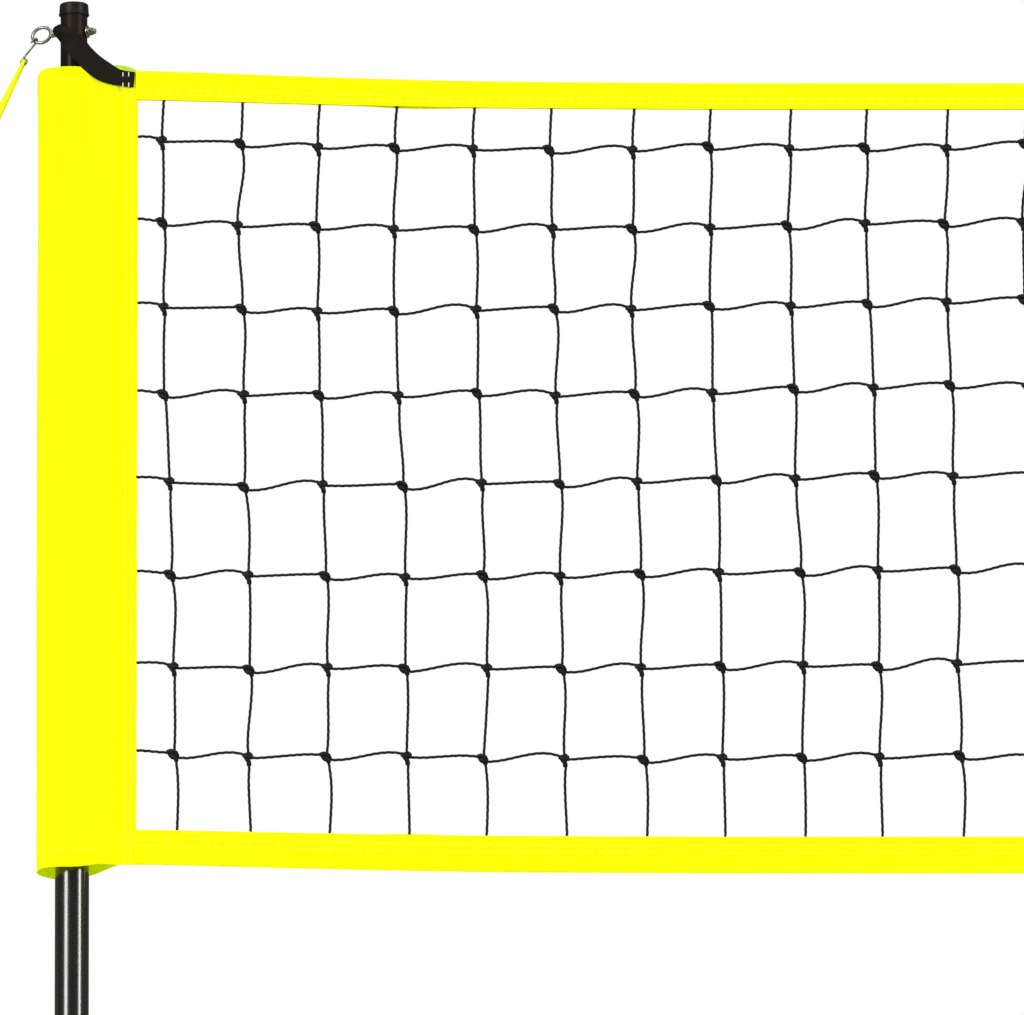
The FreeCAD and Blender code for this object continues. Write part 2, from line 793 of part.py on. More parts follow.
def rope_shape(lines):
    """The rope from its knot on the front leg, round the ring, up over the hook, and down the back leg."""
    apex, feet, ways, mean, half, bearing = lines
    turn = number("rope") / 2 + number("ring_wire") / 2 + number("rope_gap")
    over = apex + mean * (bearing / math.sin(half) - bearing)
    fold_back = bearing / math.tan(half)
    legs = []
    for foot, way in zip(feet, ways):
        lift = leg_frame(way)
        lower = foot - lift * (2 * turn)
        knot = lower - way * number("rope_return")
        legs.append((knot, lower, foot + way * turn - lift * turn, foot, apex + way * fold_back))
    front, rear = legs
    edges = [
        Part.LineSegment(front[0], front[1]),
        Part.Arc(front[1], front[2], front[3]),
        Part.LineSegment(front[3], front[4]),
        Part.Arc(front[4], over, rear[4]),
        Part.LineSegment(rear[4], rear[3]),
        Part.Arc(rear[3], rear[2], rear[1]),
        Part.LineSegment(rear[1], rear[0]),
    ]
    knots = [Part.makeSphere(number("knot") / 2, leg[0]) for leg in legs]
    return pipe(edges, number("rope") / 2).fuse(knots)


def ring_shapes(feet, ways):
    """The steel rings that the rope's lower bights pull against the stakes, and where the stakes stand."""
    wire = number("ring_wire") / 2
    middle = number("ring_inner") / 2 + wire
    turn = number("rope") / 2 + wire + number("rope_gap")
    rings, spots = [], []
    for foot, way in zip(feet, ways):
        held = foot - leg_frame(way) * turn
        level = FreeCAD.Vector(way.x, way.y, 0).normalize()
        centre = held + level * middle
        rings.append(Part.makeTorus(middle, wire, centre, FreeCAD.Vector(0, 0, 1)))
        stake = centre + level * (number("ring_inner") / 2 - number("stake") / 2 - number("rope_gap"))
        spots.append(FreeCAD.Vector(stake.x, stake.y, 0))
    return rings, spots


def stake(name, spot):
    """A round steel stake, pointed at its foot, with a flat head."""
    length, radius = size("stake_length"), size("stake") / 2
    head = size("stake_head") / 2
    under = length - size("stake_head_thick")
    body = revolved(name, [
        (NOTHING, NOTHING),
        (size("stake_point") / 2, NOTHING),
        (radius, size("stake_tip")),
        (radius, under),
        (head, under),
        (head, length - size("stake_head_chamfer")),
        (head - size("stake_head_chamfer"), length),
        (NOTHING, length),
    ])
    body.Placement = FreeCAD.Placement(spot, FreeCAD.Rotation())
    return finished(body, name)


def tensioner_shape(foot, way):
    """A moulded slider with two holes: the rope's leg and its return strand run through it."""
    turn = number("rope") / 2 + number("ring_wire") / 2 + number("rope_gap")
    lift = leg_frame(way)
    side_way = way.cross(lift)
    middle = foot - lift * turn - way * number("tensioner_along")
    hole = number("rope") / 2 + number("rope_gap")
    wide = turn + hole + number("tensioner_side")
    thick, long = number("tensioner_thick"), number("tensioner_length")
    block = Part.makeBox(2 * wide, thick, long, FreeCAD.Vector(-wide, -thick / 2, -long / 2))
    block = block.makeFillet(number("tensioner_rounding"), block.Edges)
    for at in (-turn, turn):
        block = block.cut(Part.makeCylinder(hole, 2 * long, FreeCAD.Vector(at, 0, -long)))
    foot_of_waist = FreeCAD.Vector(wide + long - number("tensioner_waist"), -thick, 0)
    waist = Part.makeCylinder(long, 2 * thick, foot_of_waist, FreeCAD.Vector(0, 1, 0))
    block = block.cut(waist).cut(waist.mirror(FreeCAD.Vector(), FreeCAD.Vector(1, 0, 0)))
    frame = FreeCAD.Matrix(
        lift.x, side_way.x, way.x, middle.x,
        lift.y, side_way.y, way.y, middle.y,
        lift.z, side_way.z, way.z, middle.z,
        0, 0, 0, 1,
    )
    return block.transformed(frame, True)


# The tapes and the net between the side bands

hem_left = size("band_width") - size("net_span") / 2 + size("hem_gap")


def tape(name, depth, folded_up):
    """A band of fabric folded over the net's edge, as a channel that runs from one side band to the other."""
    half_slot = size("twine") / 2 + size("tape_slot_gap")
    half = half_slot + size("tape_wall")
    fold = net_bottom if folded_up else net_top
    sign = 1.0 if folded_up else -1.0
    body = doc.addObject("PartDesign::Body", name)
    mouth = fold + depth * sign
    roof = fold + size("tape_wall") * sign
    section = outline(body, name + "_section", [
        (half * -1, fold),
        (half, fold),
        (half, mouth),
        (half_slot, mouth),
        (half_slot, roof),
        (half_slot * -1, roof),
        (half_slot * -1, mouth),
        (half * -1, mouth),
    ], "YZ_Plane")
    run = body.newObject("PartDesign::Pad", name + "_run")
    run.Profile = (section, [""])
    bind(run, "Length", hem_left * -2)
    run.Midplane = True
    return finished(body, name)


def net_shape():
    """The net as one sheet of twine's thickness with a square hole for each mesh."""
    twine = number("twine")
    left, right = plain(hem_left), -plain(hem_left)
    edge = number("tape_wall") + number("tape_slot_gap")
    low, high = plain(net_bottom) + edge, plain(net_top) - edge
    bottom = plain(net_bottom) + number("bottom_tape_depth") + number("twine")
    top = plain(net_top) - number("top_tape_depth") - number("twine")
    columns, rows = int(number("mesh_columns")), int(number("mesh_rows"))
    pitch_x = (right - left - twine) / columns
    pitch_z = (top - bottom + twine) / rows

    def loop(x0, x1, z0, z1):
        spots = [(x0, z0), (x1, z0), (x1, z1), (x0, z1), (x0, z0)]
        return Part.makePolygon([FreeCAD.Vector(x, -twine / 2, z) for x, z in spots])

    holes = []
    for column in range(columns):
        x0 = left + twine + column * pitch_x
        for line in range(rows):
            z0 = bottom + line * pitch_z
            holes.append(loop(x0, x0 + pitch_x - twine, z0, z0 + pitch_z - twine))
    outer = loop(left, right, low, high)
    face = Part.makeFace([outer] + holes, "Part::FaceMakerCheese")
    return face.extrude(FreeCAD.Vector(0, twine, 0))


# Build the set

band, strap = band_shape(), strap_shape()
hook = hook_shape()
rope_course = rope_lines()
_, feet, ways, _, _, _ = rope_course
rope = rope_shape(rope_course)
rings, spots = ring_shapes(feet, ways)
eye_bolts, washers, hooks, all_rings = [], [], [], []
for word, side in SIDES.items():
    x = pole_x * side
    foot_cap("foot_cap_" + word, x)
    lower_tube("lower_tube_" + word, x)
    middle_tube("middle_tube_" + word, x)
    lock_bush("lock_bush_" + word, x)
    twist_collar("twist_collar_" + word, x)
    tube_guide("tube_guide_" + word, x)
    upper_tube("upper_tube_" + word, x, side)
    top_cap("top_cap_" + word, x)
    eye_bolts.append(eye_bolt("eye_bolt_" + word, side))
    washers.append(washer("bolt_washer_" + word, side))
    wing_nut("wing_nut_" + word, side)
    finished(feature("band_" + word, mirrored(band, side), plain(x)), "side_band_" + word)
    finished(feature("strap_" + word, mirrored(strap, side), plain(x)), "corner_strap_" + word)
    hooks.append(feature("hook_" + word, mirrored(hook, side), plain(x)))
    finished(feature("rope_" + word, mirrored(rope, side), plain(x)), "guy_rope_" + word)
    for place, ring, spot, foot, way in zip(("front", "back"), rings, spots, feet, ways):
        end = "%s_%s" % (word, place)
        all_rings.append(feature("ring_" + end, mirrored(ring, side), plain(x)))
        at = FreeCAD.Vector(plain(x) - side * spot.x, spot.y, 0)
        stake("stake_" + end, at)
        slider = mirrored(tensioner_shape(foot, way), side)
        finished(feature("slider_" + end, slider, plain(x)), "tensioner_" + end)

finished(joined("eye_bolts", "Part::Compound", eye_bolts), "eye_bolts")
finished(joined("bolt_washers", "Part::Compound", washers), "bolt_washers")
finished(joined("rope_hooks", "Part::Compound", hooks), "rope_hooks")
finished(joined("stake_rings", "Part::Compound", all_rings), "stake_rings")
tape("top_tape", size("top_tape_depth"), False)
tape("bottom_tape", size("bottom_tape_depth"), True)
finished(feature("mesh", net_shape()), "net")

doc.recompute()
for item in doc.Objects:
    if "Invalid" in item.State or "Error" in item.State:
        raise RuntimeError("%s did not recompute: %s" % (item.Label, item.State))
for item in nodes:
    if item.Shape.isNull() or not item.Shape.isValid() or not item.Shape.Solids:
        raise RuntimeError("%s has no sound shape" % item.Label)

os.makedirs("parts", exist_ok=True)
for item in nodes:
    item.Shape.exportStep("parts/%s.step" % item.Label)
    print(item.Label, "solids", len(item.Shape.Solids), "volume", round(item.Shape.Volume, 1))
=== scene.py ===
# %% [markdown]
# # A volleyball net on telescopic poles
#
# The set stands ready to play: two steel poles, a black knotted net between bright yellow fabric bands, and
# yellow guy ropes that run from each pole's top down to ground stakes. The exact rigid model is loaded first
# and never moved. Everything below gives it its surfaces: enamel, woven fabric, webbing, twine and zinc.
#
# Every new shape is a surface worked out as a whole numpy array and put into a mesh at once. That keeps each
# piece exact, quick to rebuild and easy to change, which modelling by hand would not.

import math

import bpy
import numpy as np
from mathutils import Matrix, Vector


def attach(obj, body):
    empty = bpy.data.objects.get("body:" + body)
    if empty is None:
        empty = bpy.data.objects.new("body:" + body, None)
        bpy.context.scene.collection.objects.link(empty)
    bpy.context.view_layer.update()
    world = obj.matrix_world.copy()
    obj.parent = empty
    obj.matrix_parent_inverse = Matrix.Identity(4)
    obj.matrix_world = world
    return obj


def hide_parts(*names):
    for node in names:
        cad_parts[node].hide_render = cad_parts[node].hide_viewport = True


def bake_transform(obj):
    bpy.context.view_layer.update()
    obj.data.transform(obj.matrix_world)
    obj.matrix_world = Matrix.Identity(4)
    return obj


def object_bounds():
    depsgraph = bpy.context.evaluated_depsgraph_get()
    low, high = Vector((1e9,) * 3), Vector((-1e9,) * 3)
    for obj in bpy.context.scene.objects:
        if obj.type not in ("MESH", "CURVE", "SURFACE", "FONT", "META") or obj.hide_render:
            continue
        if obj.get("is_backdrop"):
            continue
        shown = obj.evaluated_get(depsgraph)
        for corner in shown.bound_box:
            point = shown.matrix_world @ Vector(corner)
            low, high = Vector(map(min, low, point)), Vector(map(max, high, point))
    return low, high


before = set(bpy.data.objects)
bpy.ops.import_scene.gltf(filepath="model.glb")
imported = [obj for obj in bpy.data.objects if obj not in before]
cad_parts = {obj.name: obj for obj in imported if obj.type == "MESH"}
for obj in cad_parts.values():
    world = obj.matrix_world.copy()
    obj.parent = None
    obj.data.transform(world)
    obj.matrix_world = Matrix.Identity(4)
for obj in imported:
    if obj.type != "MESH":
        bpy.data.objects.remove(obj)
cad_box = [list(corner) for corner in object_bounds()]
print("rigid model from", [round(v, 3) for v in cad_box[0]], "to", [round(v, 3) for v in cad_box[1]])

# %% [markdown]
# ## Sizes
#
# Lengths are written in millimetres, as the maker would, and turned to metres by one factor. The left pole is
# the one in the photograph. Pieces are worked out beside it, with the pole's axis at zero and x towards the
# net, and the same arrays are placed at the left and mirrored to the right.

# %% Sizes that several pieces share
MM = 0.001
SIDES = {"left": -1, "right": 1}
POLE_X = 4835.5
NET_TOP = 2430.0
NET_BOTTOM = 1516.0

# %% [markdown]
# ## Camera
#
# The photograph looks at the left top corner from a little below, with hardly any perspective, so the lens is
# very long and the camera stands forty-eight metres off. A pixel there is 1.11 mm at the net.

# %% Camera
CAMERA_DISTANCE = 48.0
VIEW_WIDTH = 1.1403
SENSOR = 36.0
AIM = np.array([-4.3465, 0.0, 1.931])
LOOK_UP = math.radians(13.0)

camera = bpy.data.objects.new("camera", bpy.data.cameras.new("camera"))
bpy.context.scene.collection.objects.link(camera)
camera.data.sensor_width = SENSOR
camera.data.lens = SENSOR * CAMERA_DISTANCE / VIEW_WIDTH
camera.data.clip_end = 1000.0
camera.location = AIM + CAMERA_DISTANCE * np.array([0.0, -math.cos(LOOK_UP), -math.sin(LOOK_UP)])
camera.rotation_euler = (math.radians(90.0) + LOOK_UP, 0.0, 0.0)
bpy.context.scene.camera = camera
print("lens %.0f mm" % camera.data.lens)

# %% [markdown]
# ## Helpers for meshes
#
# Most pieces are tubes, turned profiles or sheets, and all of these are grids of points: one direction runs
# along the piece and the other round it. One function joins a stack of such grids into quads. Each corner of
# a quad gets its own texture coordinate, so that a pattern can run round a closed tube without a smear where
# the first and last lines meet.


# %% Grids of points to meshes
def unit(v):
    """Directions of length one."""
    return v / np.linalg.norm(v, axis=-1, keepdims=True)


def distance(points, closed=False):
    """How far each point of a line is from its first one, measured along the line. A closed line comes back
    to its first point, so it has one distance more."""
    points = np.asarray(points, float)
    if closed:
        points = np.concatenate([points, points[:1]])
    steps = np.linalg.norm(np.diff(points, axis=-2), axis=-1)
    return np.concatenate([np.zeros(steps.shape[:-1] + (1,)), np.cumsum(steps, axis=-1)], axis=-1)


def grid(points, close_i=False, close_j=False, along=None, across=None, cap_i=False):
    """Quads between neighbours on k grids of ni by nj points, as (points, quads, corner uv, end rings).

    A closed direction joins its last line to its first. along and across are the texture coordinates of the
    lines in metres, one more than the lines where the direction is closed. cap_i asks for the rings at both
    ends, each of which becomes one flat face.
    """
    points = np.asarray(points, float)
    if points.ndim == 3:
        points = points[None]
    k, ni, nj, _ = points.shape
    number = np.arange(k * ni * nj).reshape(k, ni, nj)
    i = np.arange(ni if close_i else ni - 1)
    j = np.arange(nj if close_j else nj - 1)
    i0, j0 = np.meshgrid(i, j, indexing="ij")
    i1, j1 = (i0 + 1) % ni, (j0 + 1) % nj
    quads = np.stack([number[:, i0, j0], number[:, i1, j0], number[:, i1, j1], number[:, i0, j1]], -1)
    u = np.zeros(ni + 1) if along is None else np.asarray(along, float)
    v = np.zeros(nj + 1) if across is None else np.asarray(across, float)
    uv = np.stack([
        np.stack([u[i0], v[j0]], -1), np.stack([u[i0 + 1], v[j0]], -1),
        np.stack([u[i0 + 1], v[j0 + 1]], -1), np.stack([u[i0], v[j0 + 1]], -1),
    ], -2)
    uv = np.broadcast_to(uv, (k,) + uv.shape).reshape(-1, 4, 2)
    ends = np.concatenate([number[:, 0], number[:, -1, ::-1]]) if cap_i else np.zeros((0, nj), int)
    return points.reshape(-1, 3), quads.reshape(-1, 4), uv, list(ends)


def outward(part):
    """The same closed part with its faces turned outwards: the volume that its quads enclose is positive."""
    points, quads, uv, ends = part
    corners = points[quads]
    first = (corners[:, 0] * np.cross(corners[:, 1], corners[:, 2])).sum()
    second = (corners[:, 0] * np.cross(corners[:, 2], corners[:, 3])).sum()
    rim = sum((points[r[0]] * np.cross(points[r[1:-1]], points[r[2:]])).sum() for r in ends)
    if first + second + rim < 0:
        return points, quads[:, ::-1], uv[:, ::-1], [ring[::-1] for ring in ends]
    return part


def mirrored(part, side):
    """A part worked out at the left pole, at that pole or turned round for the right one, in metres."""
    points, quads, uv, ends = part
    if side < 0:
        return points * MM + np.array([-POLE_X * MM, 0, 0]), quads, uv, ends
    flipped = points * np.array([-MM, MM, MM]) + np.array([POLE_X * MM, 0, 0])
    return flipped, quads[:, ::-1], uv[:, ::-1], [ring[::-1] for ring in ends]


def at_both(parts):
    """Parts worked out at the left pole, at both poles."""
    return [mirrored(part, side) for side in SIDES.values() for part in parts]


def metres(part):
    """A part worked out in the whole object's own millimetres, in metres."""
    return (part[0] * MM,) + tuple(part[1:])


def piece(name, parts, materials, sharp_angle=40.0, finish=None):
    """One object from several parts. finish gives the number of the material that each part wears, or one
    number for each of the part's faces."""
    shift, points, loops, totals, uv, worn = 0, [], [], [], [], []
    for at, (p, q, t, ends) in enumerate(parts):
        points.append(p)
        loops += [(q + shift).ravel()] + [ring + shift for ring in ends]
        totals += [np.full(len(q), 4)] + [np.array([len(ring)]) for ring in ends]
        uv += [t.reshape(-1, 2)] + [np.zeros((len(ring), 2)) for ring in ends]
        worn.append(np.broadcast_to(finish[at] if finish else 0, len(q) + len(ends)))
        shift += len(p)
    points, loops, totals = np.concatenate(points), np.concatenate(loops), np.concatenate(totals)
    mesh = bpy.data.meshes.new(name)
    mesh.vertices.add(len(points))
    mesh.vertices.foreach_set("co", points.astype(np.float32).ravel())
    mesh.loops.add(len(loops))
    mesh.loops.foreach_set("vertex_index", loops.astype(np.int32))
    mesh.polygons.add(len(totals))
    mesh.polygons.foreach_set("loop_start", (np.cumsum(totals) - totals).astype(np.int32))
    mesh.update(calc_edges=True)
    mesh.uv_layers.new(name="surface").data.foreach_set("uv", np.concatenate(uv).astype(np.float32).ravel())
    mesh.polygons.foreach_set("material_index", np.concatenate(worn).astype(np.int32))
    mesh.shade_smooth()
    mesh.set_sharp_from_angle(angle=math.radians(sharp_angle))
    for material in materials:
        mesh.materials.append(material)
    item = bpy.data.objects.new(name, mesh)
    bpy.context.scene.collection.objects.link(item)
    print("%s: %d faces" % (name, len(totals)))
    return item


def ride(item, body, node=None):
    """Put a finished piece on its body, in place of the rigid node that it stands for."""
    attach(item, body)
    if node:
        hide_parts(node)


def pair(name, parts, materials, body, slot, node="", **settings):
    """A piece at each pole from parts worked out at the left one, as {side: piece}. A {} in a name stands for
    left or right."""
    made = {}
    for word, side in SIDES.items():
        made[word] = piece(name.format(word), [mirrored(part, side) for part in parts], materials, **settings)
        ride(made[word], body.format(word), node.format(word))
    return made


# %% [markdown]
# Two kinds of grid do most of the work. A turned piece, such as a tube or a cap, is a profile of radius and
# height swung round an upright axis. Its corners are rounded with short arcs, because a real edge is never
# quite sharp and the rounding is what catches the light. A cord or wire is a ring carried along a path.


# %% Turned profiles and tubes along a path
def rounded(corners, radius, steps=4):
    """A profile of straight runs with each inner corner replaced by an arc that touches both runs.

    The arc starts back from the corner by radius times the tangent of half the turn, or by 0.45 of the
    shorter run where that is less. radius is one number, or one for each corner.
    """
    corners = np.asarray(corners, float)
    radii = np.broadcast_to(radius, len(corners))
    out = [corners[:1]]
    for before, corner, after, r in zip(corners[:-2], corners[1:-1], corners[2:], radii[1:-1]):
        back, on = before - corner, after - corner
        back_run, on_run = np.hypot(*back), np.hypot(*on)
        back, on = back / back_run, on / on_run
        half = math.acos(float(np.clip(-(back @ on), -1, 1))) / 2
        if r <= 0 or half < 1e-3:
            out.append(corner[None])
            continue
        reach = min(r * math.tan(half), 0.45 * min(back_run, on_run))
        middle = (back + on) / np.hypot(*(back + on))
        side = on - (on @ middle) * middle
        side = side / np.hypot(*side)
        bend = reach / math.tan(half)
        t = np.linspace(-half, half, steps + 1)[:, None]
        out.append(corner + middle * bend / math.cos(half) + bend * (side * np.sin(t) - middle * np.cos(t)))
    out.append(corners[-1:])
    return np.concatenate(out)


def turned(profile, x=0.0, y=0.0, sides=72, closed=True):
    """A profile of (radius, height) swung round the upright axis at x, y.

    A closed profile comes back to its start, as a tube's wall does. An open one runs from one small ring
    near the axis to another, and a flat face closes each.
    """
    profile = np.asarray(profile, float)
    angle = np.linspace(0, 2 * math.pi, sides, endpoint=False)
    r, z = profile[:, 0][:, None], profile[:, 1][:, None]
    points = np.stack([x + r * np.cos(angle), y + r * np.sin(angle), z + 0 * angle], -1)
    length = distance(profile)
    around = np.linspace(0, 2 * math.pi, sides + 1) * profile[:, 0].max()
    along = np.append(length, length[-1]) * MM
    return outward(grid(points, closed, True, along, around * MM, cap_i=not closed))


def tube(path, radius, normal=(0, 0, 1), sides=12, closed=False, lobes=0.0, turn=0.0):
    """A ring of radius carried along a path, or along each of a stack of paths, square to it.

    The ring's first direction is the normal less what it has along the path, and its second is square to
    both. radius may be one number for each point, and normal one direction for each. lobes is the share by
    which the radius swells and shrinks three times round the ring, and turn how far, at each point, the ring
    has turned about the path: together they give a cord of three twisted strands.
    """
    path = np.asarray(path, float)
    if closed:
        way = np.roll(path, -1, axis=-2) - np.roll(path, 1, axis=-2)
    else:
        way = np.gradient(path, axis=-2)
    way = unit(way)
    first = np.broadcast_to(np.asarray(normal, float), path.shape)
    first = unit(first - way * (first * way).sum(-1, keepdims=True))
    second = np.cross(way, first)
    angle = np.linspace(0, 2 * math.pi, sides, endpoint=False)[:, None]
    radius = np.broadcast_to(radius, path.shape[:-1])[..., None, None] * (1 + lobes * np.cos(3 * angle))
    angle = angle + np.broadcast_to(turn, path.shape[:-1])[..., None, None]
    ring = first[..., None, :] * np.cos(angle) + second[..., None, :] * np.sin(angle)
    points = path[..., None, :] + radius * ring
    along = distance(path.reshape(-1, *path.shape[-2:])[0], closed=True) * MM
    around = np.linspace(0, 2 * math.pi, sides + 1) * radius.max() * MM
    return outward(grid(points, closed, True, along, around, cap_i=not closed))


def smooth(points, count):
    """A curve of count points through the given ones: each span is the cubic whose ends have the slope of
    the chord between the neighbours on each side."""
    points = np.asarray(points, float)
    padded = np.concatenate([2 * points[:1] - points[1:2], points, 2 * points[-1:] - points[-2:-1]])
    t = np.linspace(0, len(points) - 1, count)
    at = np.minimum(t.astype(int), len(points) - 2)
    f = (t - at)[:, None]
    a, b, c, d = (padded[at + n] for n in range(4))
    return 0.5 * (2 * b + (c - a) * f + (2 * a - 5 * b + 4 * c - d) * f**2 + (3 * b - a - 3 * c + d) * f**3)


# %% [markdown]
# ## Light
#
# A product photograph is lit softly from all round, with one or two bright boxes that draw clean lines on
# anything glossy. The even part comes from the world here. Two suns with wide discs stand for the boxes:
# a sun lights both ends of a twelve metre set alike, which a lamp close to one pole would not. Their bearings
# come from where their lines lie on the round pole, since a mirror line at an angle from the middle of a tube
# shows a light at twice that angle. A third one from above lights what faces up. Together they add up to
# plain daylight, at which a colour renders about as it is written.

# %% Suns and world
scene = bpy.context.scene
scene.view_settings.view_transform = "Standard"


def sun(name, bearing, height, strength, width):
    """A sun at a bearing from the camera's side of the net and a height above the ground, in degrees."""
    lamp = bpy.data.objects.new(name, bpy.data.lights.new(name, "SUN"))
    scene.collection.objects.link(lamp)
    lamp.data.energy = strength
    lamp.data.angle = math.radians(width)
    lamp.rotation_euler = (math.radians(90.0 - height), 0.0, math.radians(bearing))


sun("left_box", -39.8, 17.0, 1.0, 21.0)
sun("right_box", 55.0, 17.0, 0.7, 14.0)
sun("top_box", 8.0, 62.0, 0.75, 30.0)
AMBIENT_SIDE, AMBIENT_TOP, ROOM = 0.5, 0.95, 0.16

# %% [markdown]
# The world is brighter from above than from the sides. Its background is plain white to the camera and
# through anything clear. A glossy face sees a dimmer room instead, as in a studio whose walls are far off and
# dark, so black enamel stays black between its two lines of light. Light Path tells these kinds of ray apart.


# %% One small function for every node
def add(tree, kind, inputs=None, **settings):
    """Add a node. settings are its own properties, and inputs its sockets by name or number. Each input is a
    value, another node's output, or another node, which means that node's first output."""
    item = tree.nodes.new(kind)
    for name, value in settings.items():
        setattr(item, name, value)
    for name, value in (inputs or {}).items():
        if isinstance(value, bpy.types.Node):
            value = value.outputs[0]
        if isinstance(value, bpy.types.NodeSocket):
            tree.links.new(value, item.inputs[name])
        else:
            item.inputs[name].default_value = value
    return item


def srgb(code):
    """An sRGB colour such as "C8E000" as the linear colour that a shader takes."""
    parts = [int(code[at:at + 2], 16) / 255 for at in (0, 2, 4)]
    return tuple(c / 12.92 if c <= 0.04045 else ((c + 0.055) / 1.055) ** 2.4 for c in parts) + (1.0,)


world = bpy.data.worlds.new("white studio")
scene.world = world
world.use_nodes = True
tree = world.node_tree
tree.nodes.clear()
path = add(tree, "ShaderNodeLightPath").outputs
way = add(tree, "ShaderNodeSeparateXYZ", {0: add(tree, "ShaderNodeTexCoord").outputs["Generated"]}).outputs
soft = add(tree, "ShaderNodeMapRange", {"Value": way["Z"], "From Min": -0.1, "From Max": 0.9,
                                        "To Min": AMBIENT_SIDE, "To Max": AMBIENT_TOP})
room = add(tree, "ShaderNodeMath", {0: soft, 1: ROOM}, operation="MULTIPLY")
lit = add(tree, "ShaderNodeMix", {0: path["Is Glossy Ray"], 2: soft, 3: room})
white = add(tree, "ShaderNodeMath", {0: path["Is Camera Ray"], 1: path["Is Transmission Ray"]},
            operation="MAXIMUM")
strength = add(tree, "ShaderNodeMapRange", {"Value": white, "To Min": lit, "To Max": 1.0})
sky = add(tree, "ShaderNodeBackground", {"Color": srgb("FFFFFF"), "Strength": strength})
add(tree, "ShaderNodeOutputWorld", {"Surface": sky})

# %% [markdown]
# The floor is a pale disc. From the photograph's low view it is not seen at all: the camera looks up under
# its front edge. From anywhere else it shows the set standing on it, and it keeps the shadows. A glossy face
# sees it darker, for the same reason as the room.

# %% Floor
FLOOR_RADIUS, FLOOR_FRONT, FLOOR_DROP, FLOOR_SIDES = 11.0, -5.2, -0.0015, 96
angle = np.linspace(0, 2 * math.pi, FLOOR_SIDES, endpoint=False)
rim = np.stack([FLOOR_RADIUS * np.cos(angle), np.maximum(FLOOR_RADIUS * np.sin(angle), FLOOR_FRONT),
                np.full(FLOOR_SIDES, FLOOR_DROP)], -1)
floor_mesh = bpy.data.meshes.new("floor")
floor_mesh.from_pydata(rim.tolist(), [], [list(range(FLOOR_SIDES))])
floor = bpy.data.objects.new("floor", floor_mesh)
scene.collection.objects.link(floor)
floor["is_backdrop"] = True

pale = bpy.data.materials.new("pale_paper_floor")
pale.use_nodes = True
tree = pale.node_tree
paper = tree.nodes["Principled BSDF"]
mirrored_by = add(tree, "ShaderNodeLightPath").outputs["Is Glossy Ray"]
shade = add(tree, "ShaderNodeMix", {0: mirrored_by, 6: srgb("F2F2F0"), 7: srgb("6A6A68")}, data_type="RGBA")
tree.links.new(shade.outputs[2], paper.inputs["Base Color"])
paper.inputs["Roughness"].default_value = 0.9
floor_mesh.materials.append(pale)
print("floor", FLOOR_RADIUS * 2, "m across")

# %% [markdown]
# ## Materials
#
# Every finish is procedural. Patterns that follow a surface, such as a weave or a twist, read the piece's own
# texture coordinates, which are in metres along and across it. Patterns that have no direction, such as the
# ripple of enamel, read object coordinates. Scales come from real sizes in millimetres.


# %% Parts that several finishes share
def finish(name, colour, roughness, metallic=0.0, **sockets):
    """A material with one Principled shader, as (material, its nodes, the shader). Plain values are set on
    the shader's own sockets."""
    material = bpy.data.materials.new(name)
    material.use_nodes = True
    shader = material.node_tree.nodes["Principled BSDF"]
    shader.inputs["Base Color"].default_value = srgb(colour)
    shader.inputs["Roughness"].default_value = roughness
    shader.inputs["Metallic"].default_value = metallic
    for socket, value in sockets.items():
        shader.inputs[socket.replace("_", " ")].default_value = value
    return material, material.node_tree, shader


def dress(tree, shader, relief=None, depth_mm=0.1, strength=1.0, tone=None, tones=None,
          shine=None, shines=None):
    """Give a shader its relief, as bump that stands for a depth, its colour between two sRGB tones, and its
    roughness between two values. relief, tone and shine are nodes whose output runs from 0 to 1."""
    if relief is not None:
        bump = {"Height": relief, "Distance": depth_mm * MM, "Strength": strength}
        made = add(tree, "ShaderNodeBump", bump)
        tree.links.new(made.outputs[0], shader.inputs["Normal"])
    if tone is not None:
        made = add(tree, "ShaderNodeMix", {0: tone, 6: srgb(tones[0]), 7: srgb(tones[1])}, data_type="RGBA")
        tree.links.new(made.outputs[2], shader.inputs["Base Color"])
    if shine is not None:
        made = add(tree, "ShaderNodeMapRange", {"Value": shine, "To Min": shines[0], "To Max": shines[1]})
        tree.links.new(made.outputs[0], shader.inputs["Roughness"])


def surface_lines(tree):
    """The texture coordinates of the surface, in metres: along it and across it."""
    uv = add(tree, "ShaderNodeUVMap", uv_map="surface")
    split = add(tree, "ShaderNodeSeparateXYZ", {0: uv})
    return split.outputs["X"], split.outputs["Y"]


def ridges(tree, along, along_mm, across=0.0, across_mm=1.0):
    """Ridges from -1 to 1: the sine of one turn for each along_mm, plus one for each across_mm."""
    turns = add(tree, "ShaderNodeMath", {0: across, 1: 2 * math.pi / (across_mm * MM)}, operation="MULTIPLY")
    phase = add(tree, "ShaderNodeMath", {0: along, 1: 2 * math.pi / (along_mm * MM), 2: turns},
                operation="MULTIPLY_ADD")
    return add(tree, "ShaderNodeMath", {0: phase}, operation="SINE")


def blotches(tree, size_mm, detail=3.0, stretch=(1.0, 1.0, 1.0), low=0.35, high=0.7):
    """Cloudy blotches from 0 to 1, about size_mm across, on object coordinates."""
    place = add(tree, "ShaderNodeTexCoord")
    scaled = add(tree, "ShaderNodeMapping", {0: place.outputs["Object"], "Scale": stretch})
    noise = {"Vector": scaled, "Scale": 1.0 / (size_mm * MM), "Detail": detail}
    cloud = add(tree, "ShaderNodeTexNoise", noise)
    return add(tree, "ShaderNodeMapRange", {"Value": cloud, "From Min": low, "From Max": high})


